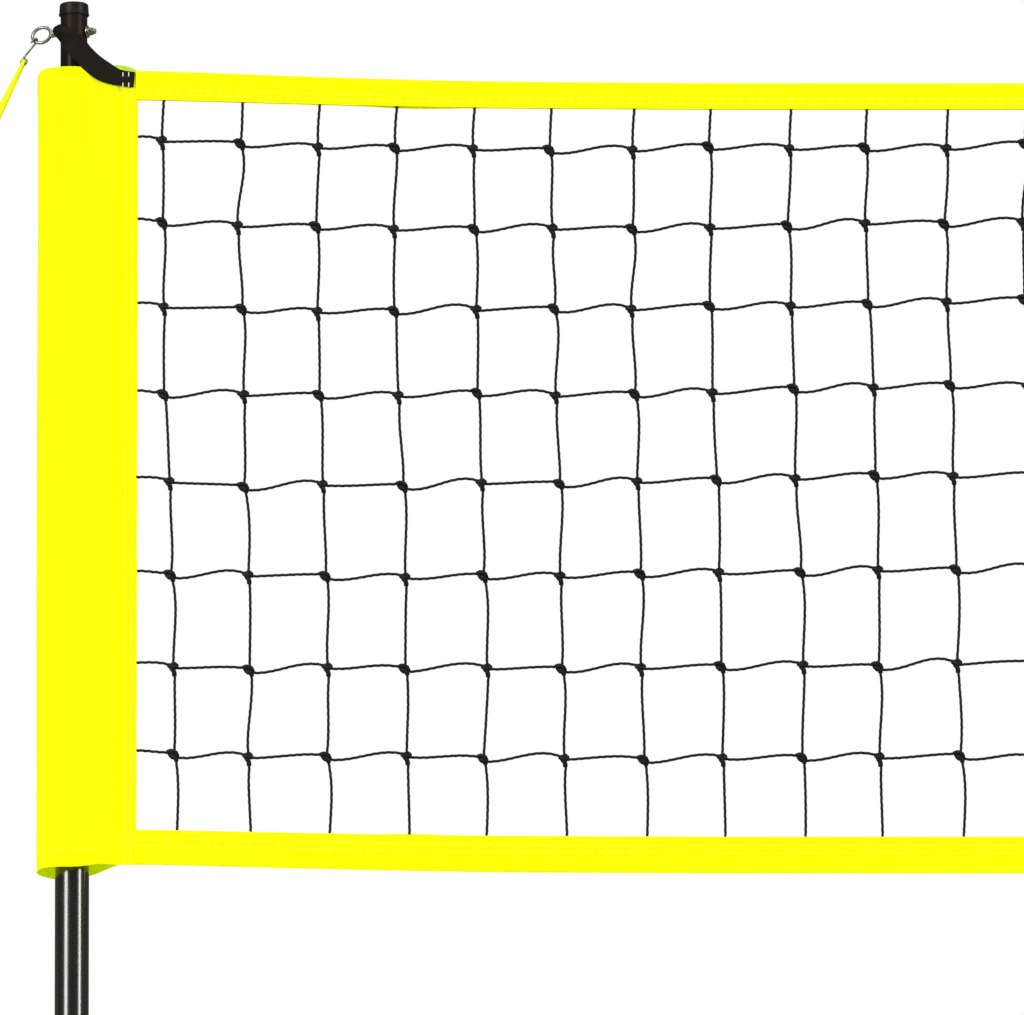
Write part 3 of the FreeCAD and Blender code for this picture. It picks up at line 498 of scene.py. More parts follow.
# %% [markdown]
# ### Poles and fittings
#
# The poles are mild steel tube in stoved enamel. Sprayed enamel levels out to a soft gloss with a faint long
# ripple, so a line of light on it has a bright middle, soft flanks and edges that aren't quite straight. The
# colour is a black with some brown in it. Handling has dulled the coat a little in patches.

# %% Stoved black enamel
black_enamel, tree, shader = finish("stoved_black_enamel_on_steel_tube", "100D08", 0.24, IOR=1.5,
                                    Coat_Weight=1.0, Coat_Roughness=0.21, Coat_IOR=1.72)
scuffs = blotches(tree, 55.0, 4.0)
dress(tree, shader, relief=blotches(tree, 9.0, 2.0, (1.0, 1.0, 0.35)), depth_mm=0.01,
      tone=scuffs, tones=("0E0B05", "191309"), shine=scuffs, shines=(0.2, 0.28))

# %% [markdown]
# The upper tube slides in a bush of acetal, so it is powder coated with a satin finish that runs well in it.
# Its fine orange peel spreads the same two lines of light into faint streaks.

# %% Satin powder coat
satin_enamel, tree, shader = finish("satin_black_powder_coat_on_steel_tube", "1C160C", 0.34, IOR=1.5,
                                    Specular_IOR_Level=0.12)
scuffs = blotches(tree, 40.0, 4.0)
dress(tree, shader, relief=blotches(tree, 1.4, 2.0), depth_mm=0.02,
      tone=scuffs, tones=("19130A", "241C10"), shine=scuffs, shines=(0.3, 0.42))

# %% [markdown]
# The caps, the clamp collar and its bush, the rope sliders and the foot cups are moulded. Moulded plastic has
# a fine spark-eroded grain that breaks its shine up; rubber is duller and greyer where dust sits in it.


# %% Moulded plastics and rubber
def moulded(name, dark, light, roughness, grain_mm, depth_mm):
    """A moulded finish: fine grain as relief, and cloudy changes of tone and shine."""
    material, tree, shader = finish(name, dark, roughness, IOR=1.49, Specular_IOR_Level=0.25)
    cloud = blotches(tree, 24.0, 4.0)
    dress(tree, shader, relief=blotches(tree, grain_mm, 2.0), depth_mm=depth_mm,
          tone=cloud, tones=(dark, light), shine=cloud, shines=(roughness - 0.06, roughness + 0.1))
    return material


black_polyethylene = moulded("moulded_black_polyethylene", "1A150D", "272015", 0.42, 0.6, 0.02)
black_nylon = moulded("moulded_black_glass_filled_nylon", "191919", "232322", 0.5, 0.8, 0.03)
grey_acetal = moulded("moulded_grey_acetal", "8C8E8F", "9B9C9C", 0.4, 0.7, 0.02)
black_rubber = moulded("moulded_black_rubber", "1B1B1B", "2A2927", 0.72, 1.2, 0.05)

# %% [markdown]
# Zinc plate on the eye bolt and the cast wing nut is a bright grey metal with a satin grain, and it goes
# cloudy where it has been handled. Metal keeps its default index of refraction, since its colour sets what
# it mirrors. The hook is drawn spring wire, with the same plate over a finer grain.


# %% Zinc plate, spring wire and galvanised steel
def plated(name, dark, bright, roughness, blotch_mm, grain_mm, depth_mm):
    """A plated metal: blotches of tone and shine over a fine grain."""
    material, tree, shader = finish(name, bright, roughness, metallic=1.0)
    cloud = blotches(tree, blotch_mm, 4.0)
    dress(tree, shader, relief=blotches(tree, grain_mm, 3.0), depth_mm=depth_mm,
          tone=cloud, tones=(dark, bright), shine=cloud, shines=(roughness + 0.12, roughness - 0.05))
    return material


zinc_plate = plated("bright_zinc_plate", "A8AA9C", "E2E4D4", 0.32, 4.0, 0.7, 0.03)
spring_wire = plated("drawn_spring_wire_zinc_plated", "96988A", "D2D4C4", 0.34, 3.0, 0.5, 0.02)
galvanised = plated("hot_dip_galvanised_steel", "7E8284", "B4B8B9", 0.42, 7.0, 1.6, 0.05)

# %% [markdown]
# ### Fabric, webbing and cord
#
# The bands are coated polyester oxford in fluorescent yellow: a plain weave of paired threads whose coating
# fills the gaps, so it looks nearly smooth from a few steps away and clearly woven close to. Its threads lie
# about 0.6 mm apart, which is too fine to show in a render of this size, so they are drawn at 1.3 mm. A plain
# weave is the product of two sine waves: each thread is up where the other family is down. The fluorescent
# dye leaves no blue at all in the colour, and the coating is a little uneven, which shifts it between lemon
# and lime.
#
# Daylight soaks through the cloth, so its inner face glows lime where no lamp reaches it. A weak emission
# stands for that, a painted glow: real translucency would have to be traced through both faces of the wall.
# The inner face's tones are also a little darker, as painted shade. The back layer's corner, where it peeks
# out behind the strap, is a darker, greyer lime: painted shade for the shade it stands in.


# %% Coated oxford
THREAD = 1.3


def oxford(name, tones, glow):
    """Plain weave of coated yellow threads between two tones, with the light that comes through it."""
    material, tree, shader = finish(name, tones[1], 0.55, IOR=1.45, Specular_IOR_Level=0.05,
                                    Emission_Color=srgb("C4E800"), Emission_Strength=glow)
    along, across = surface_lines(tree)
    threads = [ridges(tree, line, 2 * THREAD) for line in (along, across)]
    crossings = add(tree, "ShaderNodeMath", {0: threads[0], 1: threads[1]}, operation="MULTIPLY")
    weave = add(tree, "ShaderNodeMapRange", {"Value": crossings, "From Min": -1.0})
    uneven = blotches(tree, 90.0, 3.0, (1.0, 1.0, 0.5), 0.3, 0.75)
    # A fifth of the tone follows the weave, so its low points are a little darker: painted shade. The slow
    # blotches are the coating's own unevenness.
    tone = add(tree, "ShaderNodeMath", {0: weave, 1: 0.2, 2: uneven}, operation="MULTIPLY_ADD")
    dress(tree, shader, relief=weave, depth_mm=0.12, strength=0.6, tone=tone, tones=tones,
          shine=weave, shines=(0.62, 0.5))
    return material


yellow_oxford = oxford("fluorescent_yellow_coated_oxford", ("F0F200", "FAFF00"), 0.0)
# The inner face: darker tones as painted shade, and a weak emission as a painted glow of daylight through it.
oxford_inside_painted_shade_and_glow = oxford("fluorescent_yellow_oxford_inner_face_painted_shade_and_glow", ("DDEE00", "EEFA00"), 0.3)
# The back layer's corner: a darker, greyer lime that is painted shade.
oxford_back_painted_shade = oxford("lime_oxford_back_corner_painted_shade", ("B4CC3A", "C6DE48"), 0.0)

# %% [markdown]
# The corner strap is polypropylene webbing: cross ribs about 1.7 mm apart with a denser selvedge along each
# edge. The texture coordinate across it runs from minus to plus half its width, so the selvedge is found by
# its distance from the middle.

# %% Black webbing
WEBBING_HALF = 12.5
black_webbing, tree, shader = finish("black_polypropylene_webbing", "1A140B", 0.6, IOR=1.49,
                                     Specular_IOR_Level=0.15)
along, across = surface_lines(tree)
ribs = ridges(tree, along, 1.7)
twill = add(tree, "ShaderNodeMath", {0: ribs, 1: ridges(tree, across, 2.5)}, operation="MULTIPLY")
from_middle = add(tree, "ShaderNodeMath", {0: across}, operation="ABSOLUTE")
selvedge = add(tree, "ShaderNodeMapRange", {"Value": from_middle, "From Min": (WEBBING_HALF - 2.4) * MM,
                                            "From Max": (WEBBING_HALF - 1.8) * MM})
woven = add(tree, "ShaderNodeMix", {0: selvedge, 2: twill, 3: ribs})
relief = add(tree, "ShaderNodeMapRange", {"Value": woven, "From Min": -1.0})
# The tone follows the relief, so the hollows between the ribs are darker: painted shade.
dress(tree, shader, relief=relief, depth_mm=0.25, strength=0.7, tone=relief, tones=("120E07", "231B0F"))

# %% [markdown]
# The guy rope is a four millimetre braid of eight strands. In a braid two families of strands wind round in
# opposite ways and pass over and under each other, so its relief is the higher of two slanting waves. The
# crests of each lie 4.5 mm apart along the rope, and four of them fit round it. The net is twisted from three
# strands instead, and each strand's own fine yarns slant the other way round it, 2.6 mm apart along the cord.

# %% Braided rope and twisted twine
ROPE = 4.0
TWINE = 3.4
yellow_braid, tree, shader = finish("braided_yellow_polypropylene_rope", "F6F600", 0.5, IOR=1.49,
                                    Specular_IOR_Level=0.15)
along, across = surface_lines(tree)
crest = math.pi * ROPE / 4
lays = add(tree, "ShaderNodeMath", {0: ridges(tree, along, 4.5, across, crest),
                                    1: ridges(tree, along, 4.5, across, -crest)}, operation="MAXIMUM")
relief = add(tree, "ShaderNodeMapRange", {"Value": lays, "From Min": -0.6})
# The tone follows the relief, so the grooves between the strands are darker: painted shade.
dress(tree, shader, relief=relief, depth_mm=0.25, strength=0.55, tone=relief, tones=("E6E800", "FDFF00"))

black_twine, tree, shader = finish("twisted_black_polyethylene_twine", "121114", 0.5, IOR=1.5,
                                   Specular_IOR_Level=0.3)
along, across = surface_lines(tree)
relief = add(tree, "ShaderNodeMapRange", {"Value": ridges(tree, along, 2.6, across, -math.pi * TWINE / 9),
                                          "From Min": -1.0})
# The tone follows the relief, so the grooves between the yarns are darker: painted shade.
dress(tree, shader, relief=relief, depth_mm=0.2, strength=0.8, tone=relief, tones=("0A090B", "1E1D20"))

# %% [markdown]
# The yellow cloth is sewn with a pale yellow polyester thread and the straps with a white one. Both are
# round, smooth and slightly glossy. They are twisted too, but far too finely to show, so only a soft change
# of tone is left of it.

# %% Sewing thread
pale_thread, tree, shader = finish("pale_yellow_sewing_thread", "FAFC38", 0.6, IOR=1.5)
dress(tree, shader, tone=blotches(tree, 2.0, 2.0), tones=("F4F62A", "FFFF4C"))
white_thread, tree, shader = finish("white_polyester_sewing_thread", "F4F4EE", 0.5, IOR=1.5)
dress(tree, shader, tone=blotches(tree, 2.0, 2.0), tones=("E6E6DE", "FFFFFA"))
print(len(bpy.data.materials), "materials")

# %% [markdown]
# ## The poles
#
# Each pole is three tubes. The lower two are 38 mm and join on a spigot; the 30 mm upper one slides in the
# middle one and carries the net. On the rigid model they have flat facets that break a reflection into
# stripes, so each is turned again here with enough sides for the long highlights to run clean, and with the
# small rounding that a saw cut gets when it is deburred.
#
# Turning a profile is the natural way to make a tube. A cylinder with a Solidify modifier would also do, but
# it could not draw the spigot in at the middle tube's foot.

# %% Tubes
LOWER_OUTER, UPPER_OUTER, WALL = 19.0, 15.0, 1.2
LOWER_TOP, MIDDLE_TOP, UPPER_FOOT, UPPER_TOP = 850.0, 1640.0, 1324.0, 2505.5
BORE = LOWER_OUTER - WALL
DEBURRED, LONGEST_FACE = 0.35, 60.0


def wall_profile(corners, radius=DEBURRED):
    """A closed profile whose corners are all rounded."""
    ring = [corners[-1]] + list(corners) + [corners[0]]
    return rounded(ring, radius)[1:-1]


def steps_along(profile):
    """A closed profile with its long runs divided, so that no face is far longer than it is wide."""
    ends = np.roll(profile, -1, axis=0)
    counts = np.ceil(np.hypot(*(ends - profile).T) / LONGEST_FACE).astype(int)
    return np.concatenate([np.linspace(start, end, max(1, count), endpoint=False)
                           for start, end, count in zip(profile, ends, counts)])


SPIGOT, SPIGOT_LENGTH, FLARE = BORE - 0.1, 80.0, 12.0
lower_profile = wall_profile([(BORE, 4.0), (LOWER_OUTER, 4.0), (LOWER_OUTER, LOWER_TOP), (BORE, LOWER_TOP)])
middle_profile = wall_profile([
    (SPIGOT - WALL, LOWER_TOP - SPIGOT_LENGTH), (SPIGOT, LOWER_TOP - SPIGOT_LENGTH), (SPIGOT, LOWER_TOP),
    (LOWER_OUTER, LOWER_TOP), (LOWER_OUTER, MIDDLE_TOP), (BORE, MIDDLE_TOP),
    (BORE, LOWER_TOP + FLARE), (SPIGOT - WALL, LOWER_TOP),
])
upper_profile = wall_profile([(UPPER_OUTER - WALL, UPPER_FOOT), (UPPER_OUTER, UPPER_FOOT),
                              (UPPER_OUTER, UPPER_TOP), (UPPER_OUTER - WALL, UPPER_TOP)])
for name, profile, body, coat in (("lower_tube", lower_profile, "ground_side", black_enamel),
                                  ("middle_tube", middle_profile, "ground_side", black_enamel),
                                  ("upper_tube", upper_profile, "net_side", satin_enamel)):
    wall = turned(steps_along(profile), sides=96)
    pair(name + "_enamelled_{}", [wall], [coat], body, "black_enamel", name + "_{}")

# %% [markdown]
# The cap is a low dome, a little wider at its mouth, where a thin bead stiffens it. The rubber cup under the
# pole has three grip grooves. Both are solids of revolution too, with the profile ending just short of the
# axis, where a small flat face closes them.

# %% Caps and foot cups
CAP_MOUTH, CAP_CROWN, CAP_FOOT, CAP_TOP = 16.95, 15.95, 2494.0, 2508.6
cap_profile = rounded([
    (0.2, UPPER_TOP + 0.1), (UPPER_OUTER + 0.05, UPPER_TOP + 0.1), (UPPER_OUTER + 0.05, CAP_FOOT),
    (CAP_MOUTH, CAP_FOOT), (CAP_MOUTH, CAP_FOOT + 2.2), (CAP_MOUTH - 0.45, CAP_FOOT + 2.8),
    (CAP_CROWN, CAP_TOP - 1.1), (9.0, CAP_TOP - 0.25), (0.2, CAP_TOP),
], [0, 0.2, 0.3, 0.6, 0.5, 0.5, 2.6, 12.0, 0], 6)
FOOT_OUTER, FOOT_DEPTH = 21.45, 38.0
grooves = [(r, z) for at in (12.0, 19.0, 26.0) for r, z in (
    (FOOT_OUTER, at), (FOOT_OUTER - 0.7, at + 0.6), (FOOT_OUTER - 0.7, at + 1.8), (FOOT_OUTER, at + 2.4))]
foot_profile = rounded(
    [(0.2, 0.0), (FOOT_OUTER - 1.5, 0.0), (FOOT_OUTER, 1.5)] + grooves + [
        (FOOT_OUTER, FOOT_DEPTH - 1.5), (FOOT_OUTER - 1.5, FOOT_DEPTH), (LOWER_OUTER + 0.05, FOOT_DEPTH),
        (LOWER_OUTER + 0.05, 4.0), (0.2, 4.0)], 0.4)
cap, foot = turned(cap_profile, closed=False), turned(foot_profile, closed=False)
pair("pole_cap_{}", [cap], [black_polyethylene], "net_side", "black_cap", "top_cap_{}")
pair("foot_cup_{}", [foot], [black_rubber], "ground_side", "rubber_foot", "foot_cap_{}")

# %% [markdown]
# The clamp inside the sleeve, the guide ring on the upper tube's foot and the rope sliders have the right
# shape already, so those parts of the rigid model stay, with a better finish.

# %% Finishes for the rigid parts that stay
KEPT = {"twist_collar": black_nylon, "tensioner": black_nylon, "lock_bush": grey_acetal,
        "tube_guide": grey_acetal}
for name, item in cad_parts.items():
    for start, material in KEPT.items():
        if name.startswith(start):
            item.data.materials.clear()
            item.data.materials.append(material)
print("kept:", ", ".join(sorted(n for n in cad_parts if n.startswith(tuple(KEPT)))))

# %% [markdown]
# ## The bolt at the pole's top
#
# An eye bolt goes through the strap and the pole, with its eye outwards and a wing nut on the net's side. It
# is turned by 18 degrees, so the nut stands nearer the front than the eye. It has its own three directions:
# along the bolt from the eye to the nut, across it, and up. Pieces are worked out in those and then carried
# to the pole. The bolt is also turned about its own length, which leans the top of its eye 22.5 degrees to
# the back.

# %% Directions of the bolt
BOLT_Z = NET_TOP + 44.9
BOLT_TURN, EYE_TILT = math.radians(18.0), math.radians(22.5)
AXIS = np.array([math.cos(BOLT_TURN), -math.sin(BOLT_TURN), 0.0])
ACROSS = np.array([math.sin(BOLT_TURN), math.cos(BOLT_TURN), 0.0])
UP = np.array([0.0, 0.0, 1.0])


def on_bolt(part):
    """A part made along x from the pole's axis, carried to the bolt: x along it, y across it and z up."""
    points = part[0] @ np.stack([AXIS, ACROSS, UP]) + np.array([0.0, 0.0, BOLT_Z])
    return (points,) + tuple(part[1:])


def lying(part, start=0.0):
    """A turned part with its upright axis laid along x, starting at a distance from the pole's axis."""
    x, y, z = part[0].T
    return (np.stack([z + start, x, y], -1),) + tuple(part[1:])


# %% [markdown]
# The eye is bent from 3.8 mm wire and welded shut, so it is a ring with a short neck that swells into the
# shank. The last 10 mm are threaded. The thread is real relief: the radius of the surface falls and rises
# once in each millimetre of pitch as it goes round, which is a helix. It deepens over its first 1.5 mm, and
# the bolt's end is chamfered.

# %% Eye bolt
EYE_MIDDLE, EYE_WIRE, EYE_REACH = 10.6, 1.9, 38.0
SHANK, SHANK_END, PITCH, THREAD_FROM = 3.0, 25.8, 1.0, 15.5
angle = np.linspace(0, 2 * math.pi, 73)[:-1]
eye_top = np.array([0.0, math.sin(EYE_TILT), math.cos(EYE_TILT)])
eye_path = (np.outer(EYE_MIDDLE * np.cos(angle) - EYE_REACH, [1.0, 0, 0])
            + np.outer(EYE_MIDDLE * np.sin(angle), eye_top))
eye = tube(eye_path, EYE_WIRE, normal=(0, math.cos(EYE_TILT), -math.sin(EYE_TILT)), sides=24, closed=True)

neck_profile = rounded([(0.2, 0.0), (2.6, 0.0), (4.1, 1.0), (3.1, 5.5), (SHANK, 8.0), (0.2, 8.0)],
                       [0, 1.0, 2.0, 4.0, 0, 0], 5)
neck = lying(turned(neck_profile, sides=32, closed=False), -EYE_REACH + EYE_MIDDLE + 0.6)
SHOULDER_LENGTH = 4.0
SHOULDER_FROM = -(UPPER_OUTER + 0.6 + 1.8) - SHOULDER_LENGTH
shoulder_profile = rounded([
    (0.2, 0.0), (SHANK, 0.0), (6.4, 3.0), (6.5, SHOULDER_LENGTH), (0.2, SHOULDER_LENGTH),
], [0, 0.6, 0.5, 0.2, 0], 4)
shoulder = lying(turned(shoulder_profile, sides=40, closed=False), SHOULDER_FROM)

run = np.concatenate([np.linspace(-EYE_REACH + EYE_MIDDLE + 2.0, THREAD_FROM, 12)[:-1],
                      np.linspace(THREAD_FROM, SHANK_END, 10 * 12)])
turn = np.linspace(0, 2 * math.pi, 32, endpoint=False)
s, t = np.meshgrid(run, turn, indexing="ij")
saw = 2 * np.abs((s / PITCH - t / (2 * math.pi)) % 1.0 - 0.5)
depth = 0.34 * np.clip((s - THREAD_FROM) / 1.5, 0, 1) * saw
radius = SHANK - depth - 0.7 * np.clip((s - SHANK_END + 0.8) / 0.8, 0, 1)
shank = outward(grid(np.stack([s, radius * np.cos(t), radius * np.sin(t)], -1), False, True, cap_i=True))
bolt_parts = at_both([on_bolt(part) for part in (eye, neck, shoulder, shank)])
ride(piece("eye_bolts_with_thread", bolt_parts, [zinc_plate]), "net_side", "eye_bolts")

# %% [markdown]
# The washer is stamped, and tumbling has rounded its edges. The wing nut is cast: a tapered hub, and two
# wings that rise from it, lean outwards and end in round lobes. A wing is a flat oval carried along a
# curve, wider at its lobe than at its root, which is close to how a pattern maker shapes it from a bar.

# %% Washers and wing nuts
HOLE, WASHER, THICK = SHANK + 0.05, 7.0, 1.6
WASHER_SEAT = UPPER_OUTER + 0.3
NUT_SEAT = WASHER_SEAT + THICK + 0.05
washer_profile = wall_profile([(HOLE, 0.0), (WASHER, 0.0), (WASHER, THICK), (HOLE, THICK)], 0.4)
washer = on_bolt(lying(turned(washer_profile, sides=48), WASHER_SEAT))
ride(piece("stamped_washers", at_both([washer]), [zinc_plate]), "net_side", "bolt_washers")

hub_profile = wall_profile([(HOLE, 0.0), (4.8, 0.0), (4.7, 1.4), (4.3, 2.0), (4.2, 5.6), (HOLE, 5.9)], 0.5)
hub = lying(turned(hub_profile, sides=48), NUT_SEAT)


def wing(sense):
    """One wing of the nut: an oval of half width w and half thickness h carried along a curve in x and y."""
    line = smooth([(2.0, 3.2), (2.8, 4.8), (4.0, 6.4), (5.2, 7.4), (6.4, 7.9)], 22)
    way = unit(np.gradient(line, axis=0))
    side_way = np.stack([-way[:, 1], way[:, 0]], -1)
    t = np.linspace(0, 1, len(line))
    lobe = np.sqrt(np.clip(1 - ((t - 0.80) / 0.21).clip(0, 1) ** 2, 0, 1))
    w = (1.5 + 1.2 * np.clip((t - 0.25) / 0.5, 0, 1)) * lobe + 0.05
    h = (1.25 - 0.2 * t) * np.sqrt(lobe) + 0.05
    a = np.linspace(0, 2 * math.pi, 20, endpoint=False)
    flat = np.sign(np.cos(a)) * np.abs(np.cos(a)) ** 0.8
    high = np.sign(np.sin(a)) * np.abs(np.sin(a)) ** 0.8
    x = line[:, :1] + side_way[:, :1] * w[:, None] * flat
    y = line[:, 1:] + side_way[:, 1:] * w[:, None] * flat
    points = np.stack([x + NUT_SEAT, sense * y, h[:, None] * high], -1)
    return outward(grid(points, False, True, cap_i=True))


nut = [on_bolt(part) for part in (hub, wing(1), wing(-1))]
pair("cast_wing_nut_{}", nut, [zinc_plate], "{}_wing_nut", "zinc_plate", "wing_nut_{}")

# %% [markdown]
# ## Hook, guy rope and stakes
#
# A wire hook hangs in the eye, and the rope is folded at its middle over the hook's own eye. From there two
# legs run down to steel rings on the ground stakes, one towards the front and one towards the back. Each leg
# turns round its ring and comes back up beside itself to a stopper knot, and a slider grips both strands.
# The rope is taut, so it is straight runs and the arcs of what it bends round.
#
# The hook is one wire, so it is a tube along one path: a short limb, the arch over the eye, the shank and
# five sixths of a circle at its foot. Under load it has slid to the place on the tilted eye where the eye's
# wire runs square to the pull.

# %% Hook
HOOK_WIRE, HOOK_SLOPE, SHANK_RUN, LIMB, HOOK_EYE = 1.2, math.radians(48.5), 25.5, 4.0, 3.7
GAP = 0.3
pull = -AXIS * math.cos(HOOK_SLOPE) - UP * math.sin(HOOK_SLOPE)
through_eye = ACROSS * math.cos(EYE_TILT) - UP * math.sin(EYE_TILT)
reached = unit(pull - through_eye * (pull @ through_eye))
hook_across = unit(np.cross(pull, np.cross(through_eye, reached)))
lift_hook = np.cross(pull, hook_across)
hung = -EYE_REACH * AXIS + BOLT_Z * UP + reached * EYE_MIDDLE
arch = EYE_WIRE + HOOK_WIRE + GAP


def arc(centre, first, second, radius, start, stop, count):
    """Points on a circle, from the start angle to the stop angle in degrees between two directions."""
    a = np.radians(np.linspace(start, stop, count))[:, None]
    return centre + radius * (first * np.cos(a) + second * np.sin(a))


def line(start, stop, count):
    """Points on a straight run, without its last one."""
    return start + (stop - start) * np.linspace(0, 1, count, endpoint=False)[:, None]


near, far = hung + hook_across * arch, hung - hook_across * arch
hook_eye_middle = near + pull * SHANK_RUN + lift_hook * HOOK_EYE
hook_path = np.concatenate([
    line(far + pull * LIMB, far, 5),
    arc(hung, -hook_across, -pull, arch, 0, 180, 25)[:-1],
    line(near, near + pull * SHANK_RUN, 8),
    arc(hook_eye_middle, -lift_hook, pull, HOOK_EYE, 0, 300, 40),
])
from_start = np.arange(len(hook_path))
thin_tips = HOOK_WIRE * np.minimum(1, 0.6 + np.minimum(from_start, from_start[::-1]) / 3)
hook = tube(hook_path, thin_tips, normal=hook_across + 0.8 * lift_hook, sides=16)
ride(piece("rope_hooks_bent_wire", at_both([hook]), [spring_wire]), "net_side", "rope_hooks")

# %% [markdown]
# The rope's fold bears on the hook's eye at the point that lies furthest along the pull. Where that is
# depends on the legs' directions, and they depend on it, so a few rounds of working one out from the other
# settle both.

# %% Where the legs run
STAKE_OUT, FORE_AFT, RING_HEIGHT = 1190.0, 700.0, 30.0
RING_WIRE, RING_INNER, STAKE, RETURN, FOLD_GAP = 2.0, 8.0, 4.0, 700.0, 0.6
STRAND_GAP = ROPE / 2 + RING_WIRE + GAP
feet = [np.array([-STAKE_OUT, sense * FORE_AFT, RING_HEIGHT]) for sense in (-1, 1)]

apex = hook_eye_middle
for _ in range(12):
    ways = [unit(foot - apex) for foot in feet]
    mean = unit(ways[0] + ways[1])
    half_angle = math.acos(float(ways[0] @ ways[1])) / 2
    in_eye = unit(mean - hook_across * (mean @ hook_across))
    slant = abs(float(np.cross(hook_across, in_eye) @ unit(np.cross(*ways))))
    fold = (ROPE / 2 + HOOK_WIRE + FOLD_GAP) / slant
    seat = hook_eye_middle + in_eye * HOOK_EYE
    apex = seat - mean * fold / math.sin(half_angle)
leg_length = np.linalg.norm(feet[0] - apex) * MM
print("legs spread by %.1f degrees, %.3f m each" % (math.degrees(2 * half_angle), leg_length))

# %% [markdown]
# The path goes from one stopper knot down the return strand, round the ring, up the leg, over the hook and
# down again. It is divided finely where it bends, and every 40 mm where it is straight. The crowns of a braid
# stand 0.15 mm proud of its nominal size.

# %% Rope
CROWN, BACK_STEPS, RING_STEPS, LEG_STEPS, OVER_STEPS = 0.15, 18, 18, 70, 23
flat_side = unit(np.cross(*ways))


def leg(foot, way):
    """One leg: its points from the knot to the fold, the first direction of the rope's section at each, the
    middle of its lower bight, and where its knot sits and which ways it faces.

    The section's direction lies level at the steel ring, where the rope bends in an upright plane, and turns
    little by little to the normal of the plane of both legs at the fold.
    """
    aside = unit(np.cross(way, UP))
    lift = np.cross(aside, way)
    held = foot - lift * STRAND_GAP
    low = foot - lift * 2 * STRAND_GAP
    end = low - way * RETURN
    start = apex + way * fold / math.tan(half_angle)
    path = np.concatenate([
        line(end, low, BACK_STEPS),
        arc(held, -lift, way, STRAND_GAP, 0, 180, RING_STEPS + 1)[:-1],
        line(foot, start, LEG_STEPS),
    ])
    share = np.concatenate([np.zeros(BACK_STEPS + RING_STEPS), np.linspace(0, 1, LEG_STEPS)])[:, None]
    level = aside * np.sign(aside @ flat_side)
    return path, (1 - share) * level + share * flat_side, held, end, way, aside, lift


legs = [leg(foot, way) for foot, way in zip(feet, ways)]
half_fold = 90.0 - math.degrees(half_angle)
over_side = unit(ways[0] - mean * (ways[0] @ mean))
over = arc(seat, over_side, -mean, fold, 90 - half_fold, 90 + half_fold, OVER_STEPS)
rope_path = np.concatenate([legs[0][0], over, legs[1][0][::-1]])
rope_normals = np.concatenate([legs[0][1], np.tile(flat_side, (OVER_STEPS, 1)), legs[1][1][::-1]])
strands = tube(rope_path, ROPE / 2 + CROWN, normal=rope_normals, sides=14)


def stopper(end, way, aside, lift):
    """A stopper knot: two and a half close turns of the rope's own end round its strand, and a short tail."""
    t = np.linspace(0, 1, 46)
    a = t * 2.5 * 2 * math.pi
    outwards = np.outer(np.cos(a), aside) + np.outer(np.sin(a), lift)
    coil = end + np.outer(2.0 + 7.0 * t, way) + 3.4 * np.minimum(1, 6 * t)[:, None] * outwards
    tail = coil[-1] + np.outer(np.linspace(0.15, 1, 6), -11.0 * way + 1.5 * outwards[-1])
    normals = np.concatenate([outwards, np.tile(outwards[-1], (6, 1))])
    return tube(np.concatenate([coil, tail]), ROPE / 2 * 0.92, normal=normals, sides=12)


HELD_BELOW, HELD_ABOVE = 750.0, 2400.0
rope_parts = [strands] + [stopper(*facts[3:]) for facts in legs]
for word, side in SIDES.items():
    rope = piece("guy_rope_braided_" + word, [mirrored(part, side) for part in rope_parts], [yellow_braid])
    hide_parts("guy_rope_" + word)
    start, end = ((side * POLE_X * MM, 0.0, z * MM) for z in (HELD_BELOW, HELD_ABOVE))
    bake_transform(rope)
print("rope path %.2f m a side" % (distance(rope_path)[-1] * MM))

# %% [markdown]
# The rings are welded wire rings. Each stake is a round steel rod with a forged point, and a flat head with a
# chamfered rim to drive it by. It stands in its ring with its point on the ground.

# %% Rings and stakes
STAKE_TOP, HEAD, HEAD_THICK, CHAMFER = 300.0, 11.0, 5.0, 1.7
stake_profile = rounded([
    (0.3, 0.0), (0.6, 0.0), (STAKE, 22.0), (STAKE, STAKE_TOP - HEAD_THICK), (HEAD, STAKE_TOP - HEAD_THICK),
    (HEAD, STAKE_TOP - CHAMFER), (HEAD - CHAMFER, STAKE_TOP), (0.3, STAKE_TOP),
], [0, 0.3, 6.0, 0.6, 0.6, 0.6, 0.6, 0], 5)
rings = []
for (_, _, held, _, way, _, _), place in zip(legs, ("front", "back")):
    level = unit(way * np.array([1, 1, 0]))
    ring_middle = held + level * (RING_INNER + RING_WIRE)
    ring_path = arc(ring_middle, level, np.cross(UP, level), RING_INNER + RING_WIRE, 0, 355, 72)
    rings.append(tube(ring_path, RING_WIRE, normal=UP, sides=18, closed=True))
    spot = ring_middle + level * (RING_INNER - STAKE - GAP)
    rod = turned(stake_profile, spot[0], spot[1], sides=48, closed=False)
    end = "{}_" + place
    pair("ground_stake_" + end, [rod], [galvanised], end + "_stake", "steel_stake", "stake_" + end)
ride(piece("stake_rings_welded", at_both(rings), [zinc_plate]), "ground_side", "stake_rings")

# %% [markdown]
# ## The side bands
#
# Each end of the net is sewn to a sleeve of coated oxford that the pole stands in. The sleeve is one strip,
# folded round the pole and closed by a double row of stitches beside the net. In plan it is a teardrop: a
# loose half round at the outside, a softer curve at the front and back, and a flat seam. Towards the top the
# strap draws it in to the pole.
#
# It could be draped by a cloth simulation, but the photograph shows it pulled nearly flat, so its shape is
# better worked out directly: the plan's outline at each height, plus slow folds whose size fades out where
# the cloth is held. The wall then gets its thickness from a second skin, joined to the first at both hems.


# %% The sleeve's plan at any height
def sampled(line, length, places):
    """Values along a line, one row for each length, read off at other places along it."""
    return np.stack([np.interp(places, length, line[:, n]) for n in range(line.shape[1])], -1)


